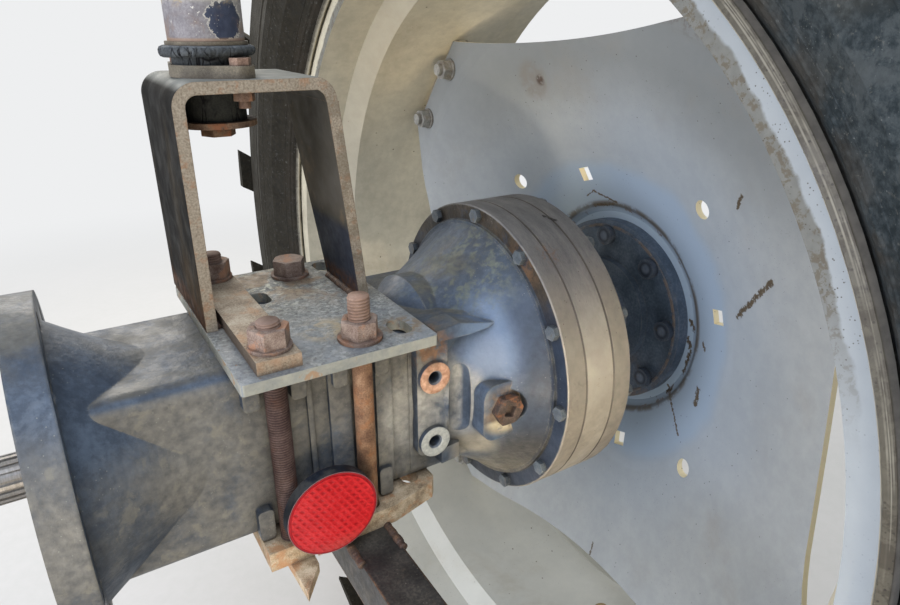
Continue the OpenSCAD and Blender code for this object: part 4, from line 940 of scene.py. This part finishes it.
def dress_nodes():
    """Gives every node its finish. Returns the tyre's, which its ridges share."""
    metal, tyre = case_metal(), tyre_rubber()
    dress(cast_paint(), "axle_housing", "axle_bell")
    band = 0.0035  # depth of the bell's turned edge, which is bare like the case
    dress_faces("axle_bell", metal,
                lambda at, normal: math.hypot(at.y, at.z) > CASE_R - band and abs(normal.x) < 0.9)
    dress(metal, "ring_gear_case", "outer_cover")
    dress(rusty("rusty_nut", (100, 80, 71), (138, 120, 108), (166, 150, 137), (168, 122, 92)),
          "clamp_nuts", "clamp_washers")
    dress(rusty("plug_rust", (50, 42, 38), (76, 66, 60), (108, 92, 80), (150, 98, 62)), "fill_plug")
    dress(plate_steel(), "top_clamp_plate")
    dress(strap_rust(), "strap_plate")
    dress(rusty("low_plate_rust", (142, 121, 95), (196, 174, 142), (224, 206, 176), (192, 140, 96)),
          "lower_clamp_plate", "reflector_bracket")
    dress(bracket_paint(), "portal_bracket")
    dress(rusty("mount_metal", (82, 76, 65), (103, 97, 84), (128, 120, 104), relief=0.0004),
          "mount_flange_plate", "mount_top_washer", "gear_block")
    dress(rusty("mount_bolts", (100, 78, 66), (132, 108, 93), (158, 134, 116), (160, 116, 88)),
          "mount_flange_bolts")
    dress(rubber("mount_rubber", (32, 34, 36), (60, 62, 58)),
          "mount_rubber_lower", "mount_rubber_upper", "shaft_seal")
    dress(rusty("snub_rust", (76, 58, 48), (108, 88, 74), (142, 118, 96), (144, 92, 62)),
          "mount_snub_washer", "mount_bolt")
    dress(foot_paint(), "cab_foot")
    dress(reflector_lens(), "reflector_lens")
    dress(black_plastic(), "reflector_body")
    dress(beam_paint(), "rear_beam")
    dress(hub_paint(), "hub_shaft", "seal_carrier")
    dress(screw_paint("stud_heads", (60, 70, 86), (78, 88, 104), (104, 112, 124), WHEEL_STUDS), "wheel_studs")
    dress(disc_paint(), "wheel_disc")
    dress(rim_paint(), "rim", "rim_lugs")
    dress(zinc(), "wheel_nuts", "rim_bolts")
    dress(screw_paint("case_bolt_metal", (64, 72, 80), (86, 94, 100), (112, 116, 116)), "case_bolts")
    dress(turned_steel("valve_brass", (150, 128, 84)), "valve_stem")
    dress(turned_steel("shaft_steel", (150, 146, 140)), "half_shaft")
    dress(tyre, "tyre")
    return tyre


def seen_directly(tree):
    """1 for rays that show the background: from the camera, a reflection or a clear part."""
    paths = add_node(tree, "LightPath", {})
    found = paths.outputs["Is Camera Ray"]
    for kind in ("Is Glossy Ray", "Is Transmission Ray"):
        found = add_node(tree, "Math", {0: found, 1: paths.outputs[kind]}, operation="MAXIMUM").outputs[0]
    return found


# Area lamps: name, place, aim, size, watts, colour, spread in degrees
LAMPS = [("sky_lamp", (-0.1, -1.5, 2.5), (0.5, 0, 0), 2.0, 45, (220, 232, 255), 180),
         ("warm_lamp", (-0.3, -1.8, -0.35), (0.4, 0, 0.08), 0.7, 2.6, (255, 236, 206), 80),
         ("front_lamp", (0.4, 2.6, 1.6), (0.5, 0, 0), 1.8, 50, (255, 248, 236), 180),
         ("left_lamp", (-4.0, -0.8, 1.0), (0.4, 0, 0), 2.8, 190, (236, 240, 255), 180),
         ("ground_bounce", (-0.1, -1.5, -0.5), (0.5, -0.17, -0.03), 0.2, 0.3, (255, 238, 208), 18)]


def light_the_stage():
    """Soft light: a cool sky lamp above and behind, a warm one low from the rear, and fills."""
    for name, place, aim, size, watts, rgb, spread in LAMPS:
        data = bpy.data.lights.new(name, "AREA")
        data.shape, data.size, data.energy = "DISK", size, watts
        data.color = linear(rgb)[:3]
        data.spread = math.radians(spread)
        lamp = placed(name, data)
        lamp.rotation_euler = (Vector(aim) - Vector(place)).to_track_quat("-Z", "Y").to_euler()
        lamp.location = place
        lamp.visible_camera = False
    world = bpy.data.worlds.new("world")
    bpy.context.scene.world = world
    world.use_nodes = True
    tree = world.node_tree
    back = tree.nodes["Background"]
    strength = add_node(tree, "MapRange", {"Value": seen_directly(tree), "To Min": AMBIENT, "To Max": 1.0})
    back.inputs["Color"].default_value = linear(BACKGROUND)
    link(tree, strength.outputs[0], back.inputs["Strength"])


def make_floor():
    """A pale floor that fades into the background well away from the object."""
    reach, sides, clear, gone = 40.0, 64, 1.2, 4.0
    ring = [(reach * c, reach * s, FLOOR_Z) for c, s in around_circle(sides)]
    mesh = bpy.data.meshes.new("floor")
    mesh.from_pydata(ring, [], [tuple(range(sides))])
    floor = placed("floor", mesh)
    f = Finish("floor", 0.8)
    f.ground(3, (202, 202, 199), (208, 207, 205))
    mesh.materials.append(f.made())
    fade = f.both(f.near((0.5, 0, FLOOR_Z), clear, gone), seen_directly(f.tree))
    glow = f.add("Emission", {"Color": linear(BACKGROUND)})
    blend = f.add("MixShader", {0: fade, 1: f.shader.outputs[0], 2: glow.outputs[0]})
    link(f.tree, blend.outputs[0], f.tree.nodes["Material Output"].inputs["Surface"])


make_camera()
light_the_stage()
make_floor()
tyre_rings(dress_nodes())
clamp_studs()
welds()
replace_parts(torn_rubber(), "mount_rubber_upper")
bpy.context.scene.view_settings.view_transform = "Standard"
